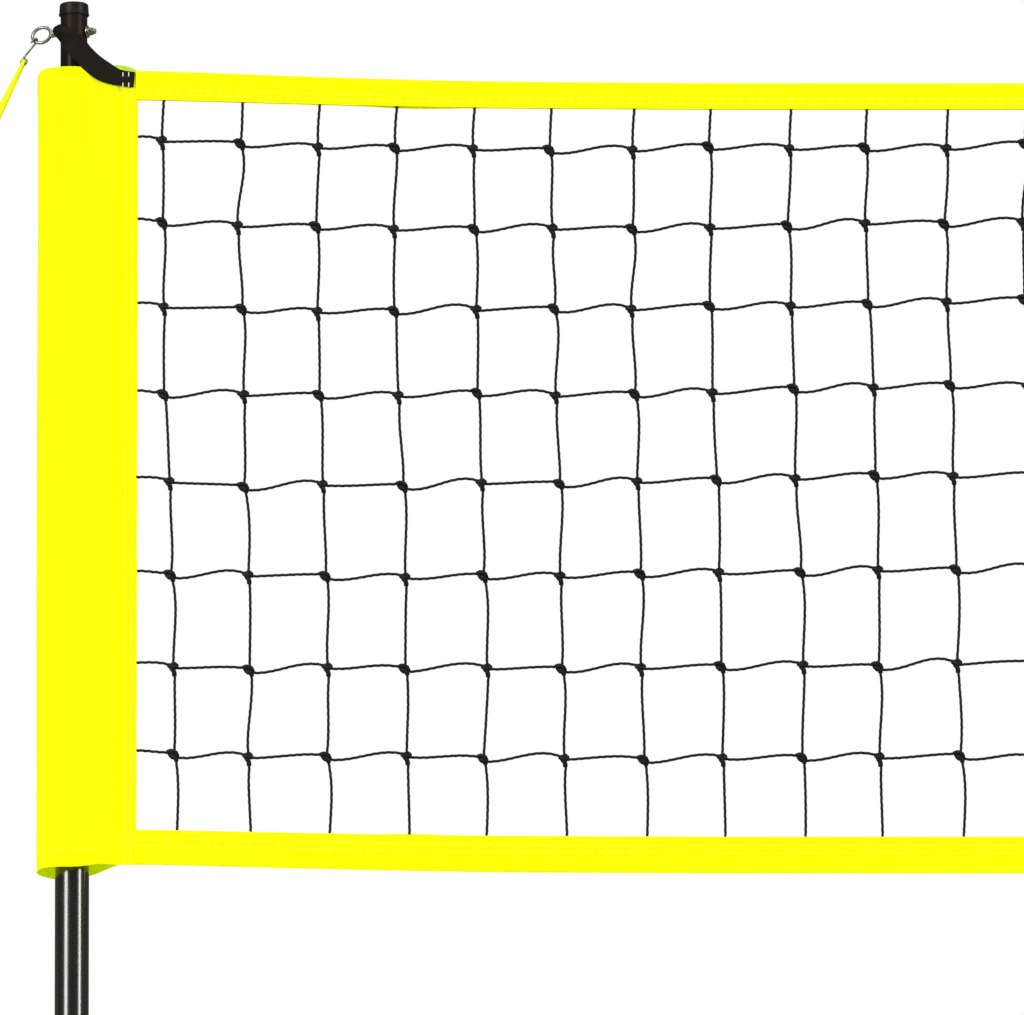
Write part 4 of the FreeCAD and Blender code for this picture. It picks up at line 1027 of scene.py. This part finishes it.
def hull(circles, tail, count):
    """Points round two circles on the x axis and a point on it: the curve of a loop pulled tight round them.

    For a direction at an angle, the loop lies on the circle whose centre plus radius reaches furthest that
    way, so the curve is the envelope of those reaches. It starts and ends at the tail.
    """
    a = np.linspace(0, 2 * math.pi, 1440, endpoint=False)
    spots = np.array([[x, r] for x, r in circles] + [[tail, 0.0]])
    reach = spots[:, :1] * np.cos(a) + spots[:, 1:]
    best = reach.argmax(0)
    x, r = spots[best].T
    ring = np.stack([x + r * np.cos(a), r * np.sin(a)], -1)
    closed = np.concatenate([ring, ring[:1]])
    length = distance(closed)
    return sampled(closed, length, np.linspace(0, length[-1], count, endpoint=False))


def settled(ring, sweep):
    """A closed ring of points smoothed as cloth smooths it: each point takes the mean over a sweep of
    neighbours that is weighted like a bell."""
    reach = np.arange(-3 * sweep, 3 * sweep + 1)
    weight = np.exp(-0.5 * (reach / sweep) ** 2)
    weight /= weight.sum()
    return sum(w * np.roll(ring, -n, axis=0) for n, w in zip(reach, weight))


BAND_LEFT, SEAM, BAND_RIGHT = -40.2, 53.5, 71.5
ROUND_LINES, SWEEP = 128, 2
low_plan = settled(hull([(BAND_LEFT + 30.0, 29.5), (17.0, 24.5)], SEAM, ROUND_LINES), SWEEP)
top_plan = settled(hull([(BAND_LEFT + 17.0, 18.0), (0.5, 17.6)], SEAM, ROUND_LINES), SWEEP)
low_plan[0] = top_plan[0] = (SEAM, 0.0)

# %% [markdown]
# The heights of the two hems follow the photograph. At the bottom the cloth hangs lowest at its outer edge
# and rises 8 mm to the seam, where the bottom tape pulls it up. At the back it hangs 2 mm lower than at the
# front. At the top it is highest behind the strap's tail, and drops off to a small round shoulder at the
# outside.
#
# Folds are sums of a few sine waves. Long ones run down the sleeve and are strongest half way; short slanting
# ones fan out from the strap and from the tape's pull.

# %% Sleeve surface
DOWN_LINES = 120
CLOTH, HEM_ROUND = 1.0, 0.45
BAND_DEPTH = NET_TOP - NET_BOTTOM


def smoothstep(x):
    """From 0 to 1 with level ends: three x squared less two x cubed, for x held between 0 and 1."""
    x = np.clip(x, 0, 1)
    return x * x * (3 - 2 * x)


def sleeve_edges(x, y):
    """The height of the bottom and the top hem at a place in plan."""
    low = NET_BOTTOM - 0.5 + 8.0 * smoothstep((x + 5.0) / 62.0) - 2.0 * smoothstep((y - 5.0) / 25.0)
    inwards = x - BAND_LEFT
    shoulder = 4.6 * np.exp(-np.maximum(inwards, 0) / 5.5) + 2.0 * (1 - smoothstep(inwards / 44.0))
    high = NET_TOP + 2.0 - shoulder + 5.5 * smoothstep((y + 2.0) / 6.0) * smoothstep((x - 20.0) / 28.0)
    return low, high


def folds(around, height):
    """How far the cloth stands off its plan: around runs from 0 to 1 round the sleeve from the seam and back,
    and height from 0 at the bottom hem to 1 at the top."""
    turn = 2 * math.pi * around
    held = np.sin(math.pi * around) ** 0.7
    slow = 0.9 * np.sin(2 * turn + 1.1 + 1.7 * height) * np.sin(math.pi * height * 1.1 + 0.2)
    long_fold = 0.7 * np.sin(5 * turn - 2.0 * height + 0.6) * np.sin(3.1 * height + 0.5)
    fan = 0.8 * np.sin(9 * turn + 16 * (1 - height)) * np.exp(-(1 - height) * 9)
    pull = 0.6 * np.sin(7 * turn - 14 * height) * np.exp(-height * 11)
    return held * (slow + long_fold + fan + pull)


around = np.arange(ROUND_LINES) / ROUND_LINES
height = np.linspace(0, 1, DOWN_LINES)
drawn_in = smoothstep((height - 0.80) / 0.2)[:, None, None]
plan = low_plan * (1 - drawn_in) + top_plan * drawn_in
side_way = unit(np.roll(plan, -1, axis=1) - np.roll(plan, 1, axis=1))
outwards = np.stack([side_way[..., 1], -side_way[..., 0]], -1)
plan = plan + outwards * folds(around[None, :], height[:, None])[..., None]
low, high = sleeve_edges(plan[..., 0], plan[..., 1])
z = low + (high - low) * height[:, None]
skin = np.concatenate([plan, z[..., None]], -1)
inner = np.concatenate([plan - outwards * CLOTH, z[..., None]], -1)
around_mm = distance(plan[0], closed=True)
print("sleeve girth %.0f mm" % around_mm[-1])

# %% [markdown]
# Skin, top hem, inner skin and bottom hem are one grid that closes on itself both ways, so the wall is closed
# all round. One more line of points at each hem, midway through the wall, rounds the turned edge. The inner
# skin wears the material of the cloth's inner face, with its painted shade and painted glow.

# %% Sleeve wall
hem_turn = 0.5 * (skin[-1] + inner[-1]) + [0, 0, HEM_ROUND]
foot_turn = 0.5 * (skin[0] + inner[0]) - [0, 0, HEM_ROUND]
loop = np.concatenate([skin, hem_turn[None], inner[::-1], foot_turn[None]])
down = np.concatenate([z[:, 0], [z[-1, 0] + 1], z[::-1, 0], [z[0, 0] - 1], [z[0, 0]]])
sleeve = outward(grid(loop, True, True, down * MM, around_mm * MM))
rows = np.arange(len(loop))
inside = np.repeat(((rows > DOWN_LINES) & (rows < 2 * DOWN_LINES)).astype(int), ROUND_LINES)

# %% [markdown]
# Beside the net the two layers lie flat on each other for 18 mm, with the net's edge between them. This seam
# allowance is a flat strip with rounded edges that waves very slightly, because the stitches shorten it.

# %% Seam strip
STRIP_HALF, STRIP_LINES = 1.5, 150


def strip_sway(x, z):
    """How far the strip stands off its plane: two waves down its length, held still at the sleeve."""
    return (0.35 * np.sin(z / 38.0) + 0.2 * np.sin(z / 13.0 + 1.0)) * smoothstep((x - SEAM) / 10.0)


edge_low = sleeve_edges(np.array([62.0]), np.array([0.0]))[0][0]
strip_z = edge_low + np.linspace(0, 1, STRIP_LINES) * (NET_TOP + 0.1 - edge_low)
left, right, half = SEAM - 1.5, BAND_RIGHT, STRIP_HALF
profile = rounded([(left, 0), (left, -half), (right, -half), (right, half), (left, half), (left, 0)],
                  [0, 0.4, 0.9, 0.9, 0.4, 0], 3)[:-1]
strip = np.empty((STRIP_LINES, len(profile), 3))
strip[..., 0] = profile[:, 0] + 0.15 * np.sin(strip_z / 17.0)[:, None] * (profile[:, 0] > 60)
strip[..., 1] = profile[:, 1] + strip_sway(profile[:, 0], strip_z[:, None])
strip[..., 2] = strip_z[:, None]
seam_strip = outward(grid(strip, False, True, strip_z * MM, distance(profile, closed=True) * MM, cap_i=True))

# %% [markdown]
# The strap's tail pulls the front layer down, so the back layer's corner peeks out above it. Its colour is a
# darker, greyer lime, which is painted shade. It is a thin leaf that rises out of the strip. Its upper edge
# leaves the strap level and then falls to the tape, by a power of 2.5.

# %% Back corner
LEAF_FRONT, LEAF_BACK, LEAF_DEPTH = 0.45, 1.35, 8.0
leaf_x = np.linspace(SEAM - 9.0, BAND_RIGHT - 0.6, 28)
leaf_top = NET_TOP + 8.0 - 6.0 * (np.maximum(leaf_x - 46.0, 0) / 24.0) ** 2.5
section = rounded([(LEAF_FRONT, -LEAF_DEPTH), (LEAF_BACK, -LEAF_DEPTH), (LEAF_BACK, 0.0), (LEAF_FRONT, 0.0),
                   (LEAF_FRONT, -LEAF_DEPTH)], [0, 0.1, 0.4, 0.4, 0], 3)[:-1]
leaf = np.empty((len(leaf_x), len(section), 3))
leaf[..., 0] = leaf_x[:, None]
leaf[..., 1] = section[:, 0] + 0.3 * np.sin(leaf_x / 7.0)[:, None]
leaf[..., 2] = leaf_top[:, None] + section[:, 1] * (leaf_top[:, None] - NET_TOP + 4.0) / LEAF_DEPTH
back_corner = outward(grid(leaf, False, True, leaf_x * MM, distance(section, closed=True) * MM, cap_i=True))

# %% [markdown]
# ### Stitches
#
# Each stitch is a short length of thread that dives into the cloth at both ends. There are thousands of them,
# so one stitch has only a few faces: five rings of six points. A row is the same little tube placed along a
# line, each with the line's direction and the cloth's outward direction.

# %% Stitches
SEAM_ROWS, STITCH_PITCH, STITCH, STITCH_SIDES = (58.2, 64.8), 4.6, 3.2, 6
TO_BACK = np.array([0.0, 1.0, 0.0])


def stitches(starts, ways, outs, length, radius=0.42):
    """Threads of a length that start at given points: along each way, and humped towards each out.

    The middle line is start + length * t * way + hump(t) * out, where the hump rises from below the cloth
    to 0.45 of the radius above it and sinks again.
    """
    t = np.array([0.0, 0.12, 0.5, 0.88, 1.0])
    hump = np.array([-0.9, 0.1, 0.45, 0.1, -0.9]) * radius
    thin = np.array([0.45, 0.85, 1.0, 0.85, 0.45]) * radius
    ways, outs = np.broadcast_to(ways, starts.shape), np.broadcast_to(outs, starts.shape)
    middle = starts[:, None] + length * t[:, None] * ways[:, None] + hump[:, None] * outs[:, None]
    third = np.cross(ways, outs)[:, None, None]
    a = np.linspace(0, 2 * math.pi, STITCH_SIDES, endpoint=False)[:, None]
    ring = outs[:, None, None] * np.cos(a) + third * np.sin(a)
    points = middle[:, :, None] + thin[:, None, None] * ring
    across = np.linspace(0, 2 * radius * MM, STITCH_SIDES + 1)
    return outward(grid(points, False, True, t * length * MM, across, cap_i=True))


down_seam = np.arange(edge_low + 3, NET_TOP - 2, STITCH_PITCH)
x, z = (places.ravel() for places in np.meshgrid(SEAM_ROWS, down_seam, indexing="ij"))
sway = strip_sway(x, z)
seam_stitches = [stitches(np.stack([x, out * STRIP_HALF + sway, z], -1), UP, out * TO_BACK, STITCH)
                 for out in (-1.0, 1.0)]

# %% [markdown]
# The hems are turned in and sewn round with one row each, 14 mm from the top edge and 18 mm from the bottom.
# A row follows the lines of the sleeve's own grid, so it bends with the folds: its points are read off the
# surface at even distances.


# %% Hem rows
def hem_row(share):
    """A row of stitches round the sleeve at a share of its height."""
    at = share * (DOWN_LINES - 1)
    k, f = int(at), at - int(at)
    ring = skin[k] * (1 - f) + skin[k + 1] * f
    length = distance(ring)
    even = np.arange(3.0, length[-1] - 3.0, STITCH_PITCH)
    spots = sampled(ring, length, even)
    face = unit(np.pad(sampled(outwards[k], length, even), ((0, 0), (0, 1))))
    return stitches(spots, unit(sampled(ring, length, even + 1.0) - spots), face, STITCH)


hem_stitches = [hem_row(1 - 14.0 / BAND_DEPTH), hem_row(18.0 / BAND_DEPTH)]
bands = pair("side_band_oxford_{}", [sleeve, seam_strip, back_corner],
             [yellow_oxford, oxford_inside_painted_shade_and_glow, oxford_back_painted_shade], "net_side", "yellow_band", "side_band_{}",
             finish=[inside, 0, 2])
threads = pair("side_band_stitches_{}", seam_stitches + hem_stitches, [pale_thread], "net_side", None)

# %% [markdown]
# ## The corner straps
#
# A black webbing strap is sewn to each top corner of the net, goes up round the pole and back, and the eye
# bolt pierces it, so the corner can't slide down. It is 25 mm wide where it climbs at a slant. Its tail is
# drawn in to 18 mm by the stitches, and it is gathered to 16 mm under the eye, where it cups: its middle
# stands off and its edges lie against the tube.
#
# The strap is swept along a line worked out in two steps: the teardrop round the pole in plan, then a height
# for each place in plan. A wide flat section with rounded edges follows that line. The line's corner points
# lie 7 to 10 mm apart, because a smooth curve through very uneven ones would loop back on itself.


# %% Strap
TAIL_Z, STRAP_RISE = NET_TOP - 11.0, 57.5
POLE_LOOP, TAIL_GAP, TAIL_END, STRAP_WIDTH, STRAP_THICK = 17.9, 3.2, 67.5, 25.0, 1.6


def strap_height(x):
    """The middle line's height at a place in plan: level at the pole's far side, then it sinks like the right
    half of a bell, of 35 mm and the power 1.5, to the seam's height."""
    return TAIL_Z + STRAP_RISE * np.exp(-(np.maximum(x + 18.0, 0) / 35.0) ** 1.5)


touch = math.acos((POLE_LOOP - TAIL_GAP) / 48.0)
turn = np.linspace(touch, 2 * math.pi - touch, 11)
bend = np.stack([1.65 + POLE_LOOP * np.cos(turn), POLE_LOOP * np.sin(turn)], -1)
inner = np.array([49.0, TAIL_GAP + 0.2])
straight = inner + (bend[0] - inner) * np.linspace(0, 1, 6)[:-1, None]
back = np.concatenate([[[TAIL_END, TAIL_GAP], [58.0, TAIL_GAP]], straight])
corners = np.concatenate([back, bend, (back * [1, -1])[::-1]])
plan = smooth(np.concatenate([corners, np.zeros((len(corners), 1))], -1), 260)[:, :2]
line_of = np.concatenate([plan, strap_height(plan[:, 0])[:, None]], -1)
level = unit(np.gradient(plan, axis=0))
face_out = np.stack([level[:, 1], -level[:, 0], 0 * level[:, 0]], -1)
face_out *= np.sign((face_out[:, :2] * (plan - [12.0, 0])).sum(1))[:, None]
cross = unit(np.cross(face_out, np.gradient(line_of, axis=0)))
cross *= np.sign(cross[:, 2])[:, None]

half, thin, edge_round = STRAP_WIDTH / 2, STRAP_THICK / 2, 0.7
flat_part = np.linspace(-half + edge_round, half - edge_round, 9)
edge = np.linspace(-math.pi / 2, math.pi / 2, 6)[1:-1]
right_edge = np.stack([half - edge_round + edge_round * np.cos(edge), thin * np.sin(edge)], -1)
section = np.concatenate([np.stack([flat_part, -thin + 0 * flat_part], -1), right_edge,
                          np.stack([flat_part[::-1], thin + 0 * flat_part], -1), right_edge[::-1] * [-1, 1]])
cup = 6.6 * smoothstep((-2.0 - plan[:, 0]) / 13.0)
drawn = 1 - 0.28 * smoothstep((plan[:, 0] - 30.0) / 26.0) - 0.36 * smoothstep((2.0 - plan[:, 0]) / 16.0)
w, v = section[:, 0], section[:, 1]
stand_off = (1 - (w / half) ** 2) * (1 + 0.5 * w / half)
strap_skin = (line_of[:, None] + cross[:, None] * (drawn[:, None] * w)[..., None]
              + face_out[:, None] * (v + cup[:, None] * stand_off)[..., None])
path_mm = distance(line_of)
print("strap length %.0f mm" % path_mm[-1])
strap = outward(grid(strap_skin, False, True, path_mm * MM, np.append(w, w[0]) * MM, cap_i=True))

# %% [markdown]
# Two short rows of white thread hold the tail to the seam. Each row is two stitches of 5.6 mm, with a gap at
# the strap's middle, on the front and on the back.

# %% Tail stitches
starts = np.array([[x, out * (TAIL_GAP + thin), TAIL_Z + from_middle]
                   for x in (54.8, 61.2) for from_middle in (-7.4, 4.4) for out in (-1.0, 1.0)])
TAIL_STITCH, TAIL_THREAD = 5.6, 0.6
tail_stitches = stitches(starts, UP, TO_BACK * np.sign(starts[:, 1:2]), TAIL_STITCH, TAIL_THREAD)
straps = pair("corner_strap_webbing_{}", [strap], [black_webbing], "net_side", "black_webbing",
              "corner_strap_{}")
threads = pair("corner_strap_stitches_{}", [tail_stitches], [white_thread], "net_side", None)

# %% [markdown]
# ## The tapes
#
# A yellow tape binds the net's top edge and another its bottom edge. Each is a strip of the same oxford,
# folded in half over the net's edge and sewn through with two rows of stitches. Both hang from the corners:
# in the photograph the top one drops 14 mm in its first metre and then runs level. Their ends lap 2 mm over
# the edge of the side band.
#
# The tape is one long closed surface: a thin wall bent into a narrow hairpin that is wide enough for the
# cords between its legs. The rows of stitches press two shallow channels into it. Its back leg is fed in by
# hand, so in one place it shows 2 mm beyond the front leg. The rows run on over the seam of the side band,
# because the tape's ends and the band's edge are closed in one pass of the machine.

# %% Tape surface
TAPE_END, TAPE_STEP, ON_BAND = POLE_X - BAND_RIGHT + 2.0, 13.0, 23.0
TAPE_WALL, TAPE_FOLD = 0.8, 3.0
TAPE_PITCH, TAPE_STITCH, TAPE_THREAD = 11.2, 7.0, 0.5
BELL = 262.0
PEEK_X, PEEK_REACH, PEEK = -4455.0, 45.0, 2.0
SLEEVE_FROM, SLEEVE_SLOPE = 18.0, 0.30


def settled_in(x):
    """From 0 at either end of the net to 1 far from both: one less a bell of the power 1.5."""
    return 1 - np.exp(-(np.maximum(TAPE_END - np.abs(x), 0) / BELL) ** 1.5)


def tape_sway(x):
    """How far the tape stands towards the back: two slow waves."""
    return 0.4 * np.sin(x / 170.0) + 0.2 * np.sin(x / 47.0 + 0.8)


def tape(fold_z, width, up, drop, narrower, rows):
    """A folded tape as a closed part, and its stitches on the front and on the back. v runs from 0 at the
    fold to the width at the edges.

    The gap between the legs grows as a quarter round at the fold, narrows a little towards the free edges,
    and dips at each row by a bell 2 mm wide. A height is the fold's height plus or minus v, less the drop.
    """
    quarter_turn = np.linspace(0, math.pi / 2, 5)
    v = np.concatenate([TAPE_FOLD * (1 - np.cos(quarter_turn)), np.linspace(4.5, width, 15)])
    dip = sum(np.exp(-((v - row) / 2.0) ** 2) for row in rows)
    quarter = np.sqrt(np.maximum(TAPE_FOLD ** 2 - (TAPE_FOLD - v) ** 2, 0))
    gap = np.where(v < TAPE_FOLD, quarter, TAPE_FOLD - 0.3 * v / width) - 0.4 * dip
    inner_gap = np.maximum(gap - TAPE_WALL, 0.15)
    inner_v = np.maximum(v, TAPE_WALL)
    inner_gap[0], gap[0] = 0, 0
    leg_v = np.concatenate([v[::-1], v[1:], inner_v[::-1], inner_v[1:]])
    leg_y = np.concatenate([-gap[::-1], gap[1:], inner_gap[::-1], -inner_gap[1:]])
    x = np.linspace(-TAPE_END, TAPE_END, int(2 * TAPE_END / TAPE_STEP))[:, None]
    back_leg = (leg_y > 0) * smoothstep((leg_v - 0.6 * width) / (0.4 * width))
    peek = PEEK * np.exp(-((x - PEEK_X) / PEEK_REACH) ** 2) * back_leg
    points = np.empty((len(x), len(leg_v), 3))
    points[..., 0] = x
    points[..., 1] = leg_y + tape_sway(x) + 0.1 * np.sin(x / 4.1 + leg_v * 0.9)
    points[..., 2] = fold_z - drop * settled_in(x) + up * (leg_v * (1 - narrower * settled_in(x)) + peek)
    girth = np.append(distance(np.stack([leg_v, leg_y], -1)), 4 * width)
    part = outward(grid(points, False, True, x[:, 0] * MM, girth * MM, cap_i=True))

    sx = np.arange(-TAPE_END - ON_BAND, TAPE_END + ON_BAND - TAPE_STITCH, TAPE_PITCH)
    past_end = np.maximum(np.abs(sx + TAPE_STITCH / 2) - TAPE_END, 0)
    on_band = STRIP_HALF + SLEEVE_SLOPE * np.maximum(past_end - SLEEVE_FROM, 0)
    sewn = []
    for out in (-1.0, 1.0):
        starts = []
        for row in rows:
            y = np.where(past_end > 0, out * on_band, out * np.interp(row, v, gap) + tape_sway(sx))
            z = fold_z - drop * settled_in(sx) + up * row * (1 - narrower * settled_in(sx))
            starts.append(np.stack([sx, y, z], -1))
        sewn.append(stitches(np.concatenate(starts), [1.0, 0, 0], out * TO_BACK, TAPE_STITCH, TAPE_THREAD))
    print("tape of %.0f mm, %d stitches" % (width, 4 * len(sx)))
    return part, sewn


TOP_FOLD, BOTTOM_FOLD = NET_TOP + 1.2, NET_BOTTOM + 7.4
for name, sizes in {
    "top_tape": (TOP_FOLD, 33.4, -1, 14.2, 0.10, (21.0, 27.3)),
    "bottom_tape": (BOTTOM_FOLD, 39.3, 1, 9.8, -0.05, (21.5, 29.5)),
}.items():
    part, sewn = tape(*sizes)
    cloth = piece(name + "_folded", [metres(part)], [yellow_oxford])
    ride(cloth, "net_side", name)
    threads = []
    for word, rows_sewn in zip(("front", "back"), sewn):
        threads.append(piece(name + "_stitches_" + word, [metres(rows_sewn)], [pale_thread]))
        ride(threads[-1], "net_side")

# %% [markdown]
# ## The net
#
# The net is knotted from one black twine of three twisted strands, 3.4 mm thick, with 88 by 101 mm meshes. A
# netting knot isn't symmetric: the cords leave it beside its middle, and since every other knot is tied from
# the back, two kinds alternate like the fields of a chess board. That gives the net its rhythm in the
# photograph: from one kind to the next the cord runs nearly straight, and from there it dips, climbs and
# turns down into the knot.
#
# The rows are neither even nor level. The second to sixth sit up to 11 mm high all along. Beside the pole the
# whole net dips by 2 to 9 mm. Further in, its middle rows are drawn up by 11 mm and its top one down by 7. A
# few smooth terms say that.
#
# A simulation would have to know the twine's stiffness to find those curves. Here each cord is a cubic curve
# between its two knots instead, with the direction at either end that the kind of knot gives it.

# %% Knots
COLUMNS, ROWS = 109, 8
MESH_WIDTH, MESH_HEIGHT = 87.69, 100.57
TOP_ROW_Z = NET_TOP - 78.0
chance = np.random.default_rng(31)

column, row = np.meshgrid(np.arange(COLUMNS), np.arange(ROWS), indexing="ij")
knot_x = (column - (COLUMNS - 1) / 2) * MESH_WIDTH
side_of = np.tanh(knot_x / 1500.0)
from_tape = TAPE_END - np.abs(knot_x)
leaning, beside_band = 12.8 * row / (ROWS - 1), 1 - np.exp(-(from_tape - 29.0) / 60.0)
inwards = leaning - 3.0 * beside_band - 3.9 * np.exp(-((row - 2) / 1.8) ** 2)
knot_x = knot_x - inwards * side_of + chance.normal(0, 1.6, knot_x.shape)
knot_z = TOP_ROW_Z - MESH_HEIGHT * row + 11.0 * np.maximum(0, np.sin(math.pi * row / 5.6))
near_dip = from_tape / 400.0 * np.exp(0.5 - 0.5 * (from_tape / 400.0) ** 2)
far_lift = 1 - np.exp(-(from_tape / 600.0) ** 2)
knot_z = knot_z - (9.1 - 1.0 * row) * near_dip + (18.3 * np.sin(math.pi * row / 7.5) - 6.9) * far_lift
knot_z = knot_z + chance.normal(0, 1.2, knot_x.shape)
knots_at = np.stack([knot_x, chance.normal(0, 0.8, knot_x.shape), knot_z], -1)
from_back = (column + row) % 2 == 1
print("%d knots" % knots_at[..., 0].size)

# %% [markdown]
# ### Cords
#
# Where a cord leaves a knot, and which way, is written once for each kind: the first of a pair is for knots
# tied from the front, the second for those tied from the back. The curve between two knots is Hermite's: it
# weighs both end points and both end directions with four cubic polynomials. A row or a column of curves is
# one long cord, and its three strands turn about it once in 24 mm, which is the 8 mm beat of light and dark
# that the photograph shows.


# %% Cords
STATIONS, LAY, STRAND_RING = 32, 24.0, 1.56


def curve(start, start_way, end, end_way):
    """Points from start to end, leaving along start_way and arriving along end_way.

    p(t) = (2t^3 - 3t^2 + 1) p0 + (t^3 - 2t^2 + t) m0 + (3t^2 - 2t^3) p1 + (t^3 - t^2) m1, where m0 and m1
    are the directions times the distance from start to end.
    """
    t = np.linspace(0, 1, STATIONS)[:, None]
    reach = np.linalg.norm(end - start, axis=-1)[..., None, None]
    first, last = start_way[..., None, :] * reach, end_way[..., None, :] * reach
    return ((2 * t ** 3 - 3 * t ** 2 + 1) * start[..., None, :] + (t ** 3 - 2 * t ** 2 + t) * first
            + (3 * t ** 2 - 2 * t ** 3) * end[..., None, :] + (t ** 3 - t ** 2) * last)


def twine(paths):
    """Three twisted strands along each of a stack of paths: a ring of six points whose radius goes up and
    down three times, turned by its distance from the path's start."""
    turn = distance(paths) * 2 * math.pi / LAY
    return tube(paths, STRAND_RING, normal=TO_BACK, sides=6, lobes=0.13, turn=turn)


def by_kind(front, back):
    """One of two vectors for each knot, by how it is tied."""
    return np.where(from_back[..., None], np.array(back, float), np.array(front, float))


left_of = knots_at + by_kind((-6.0, 0, 3.6), (-6.5, 0, 3.0))
left_way = by_kind((1, 0, -0.28), (1, 0, -0.08))
right_of = knots_at + by_kind((4.0, 0, -0.6), (3.6, 0, -2.6))
right_way = by_kind((1, 0, -0.03), (1, 0, -0.10))
above = knots_at + by_kind((0.0, 0, 5.0), (0.0, 0, 3.5))
above_way = by_kind((0.02, 0, -1), (-0.04, 0, -1))
below = knots_at + by_kind((1.5, 0, -8.6), (2.0, 0, -6.0))
below_way = by_kind((-0.03, 0, -1), (0.12, 0, -1))
sag = chance.normal(0, 0.05, knots_at.shape) * [1, 0.6, 1]
left_way, right_way = left_way + sag * [0, 1, 1], right_way - sag * [0, 1, 1]
above_way, below_way = above_way + sag[::-1] * [1, 1, 0], below_way - sag[::-1] * [1, 1, 0]

level, plumb = np.tile([1.0, 0, 0], (1, ROWS, 1)), np.tile([-0.10, 0, -1.0], (COLUMNS, 1, 1))
sleeve_left, sleeve_right = knots_at[:1] + [0, 0, 5.5], knots_at[-1:] + [0, 0, 0]
sleeve_left[..., 0], sleeve_right[..., 0] = -(TAPE_END - 0.7), TAPE_END - 0.7
sleeve_left[..., 1] = sleeve_right[..., 1] = 0
rows_of_cord = np.concatenate([
    curve(sleeve_left, level, left_of[:1], left_way[:1]),
    curve(right_of[:-1], right_way[:-1], left_of[1:], left_way[1:]),
    curve(right_of[-1:], right_way[-1:], sleeve_right, level),
]).swapaxes(0, 1).reshape(ROWS, -1, 3)
in_top, in_bottom = knots_at[:, :1] + [2.8, 0, 0], knots_at[:, -1:] + [3.0, 0, 0]
in_top[..., 2] = TOP_FOLD - 27.2 - 8.0 * settled_in(in_top[..., 0])
in_bottom[..., 2] = BOTTOM_FOLD + 28.6 - 10.0 * settled_in(in_bottom[..., 0])
in_top[..., 1], in_bottom[..., 1] = tape_sway(in_top[..., 0]), tape_sway(in_bottom[..., 0])
columns_of_cord = np.concatenate([
    curve(in_top, plumb, above[:, :1], above_way[:, :1]),
    curve(below[:, :-1], below_way[:, :-1], above[:, 1:], above_way[:, 1:]),
    curve(below[:, -1:], below_way[:, -1:], in_bottom, plumb * [0.2, 1, 1]),
], axis=1).reshape(COLUMNS, -1, 3)

# %% [markdown]
# ### The knot itself
#
# The twine goes round in a tight bight and through itself. Tied from the front, that is a lump with one
# shoulder at the upper left and a thick tail straight below, 12 mm wide and 18 mm high. Tied from the back,
# it lies aslant from the upper left to the lower right. There are 872 knots, so each is one short, thick curl
# of few faces, whose points are the turns of the bight.

# %% Knot curls
front_curl = [(-5.2, -0.5, 2.8), (-2.6, -2.6, 0.4), (2.0, -2.4, -0.6), (3.4, 0.2, 2.4), (0.6, 2.4, 4.6),
              (-2.8, 1.6, 2.6), (-1.8, -0.8, -1.4), (0.1, -2.0, -3.6), (1.0, -1.0, -6.4), (1.0, 0.4, -9.2)]
back_curl = [(-7.0, 0.0, 3.4), (-3.4, -2.6, 4.2), (1.2, -2.6, 2.8), (3.0, -0.4, -0.6), (0.6, 2.4, -2.6),
             (-3.2, 2.4, 0.2), (-5.0, 0.6, 2.0), (-1.6, -2.2, -1.4), (1.6, -2.0, -3.0), (2.2, 0.0, -6.2)]
CURL_STATIONS, CURL_RADIUS = 13, 2.85
bights = np.stack([smooth(curl, CURL_STATIONS) for curl in (front_curl, back_curl)])
kinds = from_back.ravel().astype(int)
scatter = chance.normal(1, 0.05, (kinds.size, 1, 3))
knot_paths = knots_at.reshape(-1, 1, 3) + bights[kinds] * scatter

net_parts = {"net_knots": tube(knot_paths, CURL_RADIUS, normal=TO_BACK, sides=5)}
for word, paths in zip(("upper", "lower"), np.array_split(rows_of_cord, 2)):
    net_parts["net_cords_across_" + word] = twine(paths)
for word, paths in zip(("left", "middle", "right"), np.array_split(columns_of_cord, 3)):
    net_parts["net_cords_down_" + word] = twine(paths)
for name, part in net_parts.items():
    ride(piece(name, [metres(part)], [black_twine], sharp_angle=80.0), "net_side", "net")

# %% [markdown]
# ## Closing
#
# The box of the finished model is compared with the rigid one's, and how far it stands proud on each axis
# is printed.

# %% Measure and finish
visual_box = [list(corner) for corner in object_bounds()]
growth = [max(c - v, w - d) for c, v, w, d in zip(cad_box[0], visual_box[0], visual_box[1], cad_box[1])]
print("the finished model stands proud of the rigid one by", [round(v * 1000, 1) for v in growth], "mm")
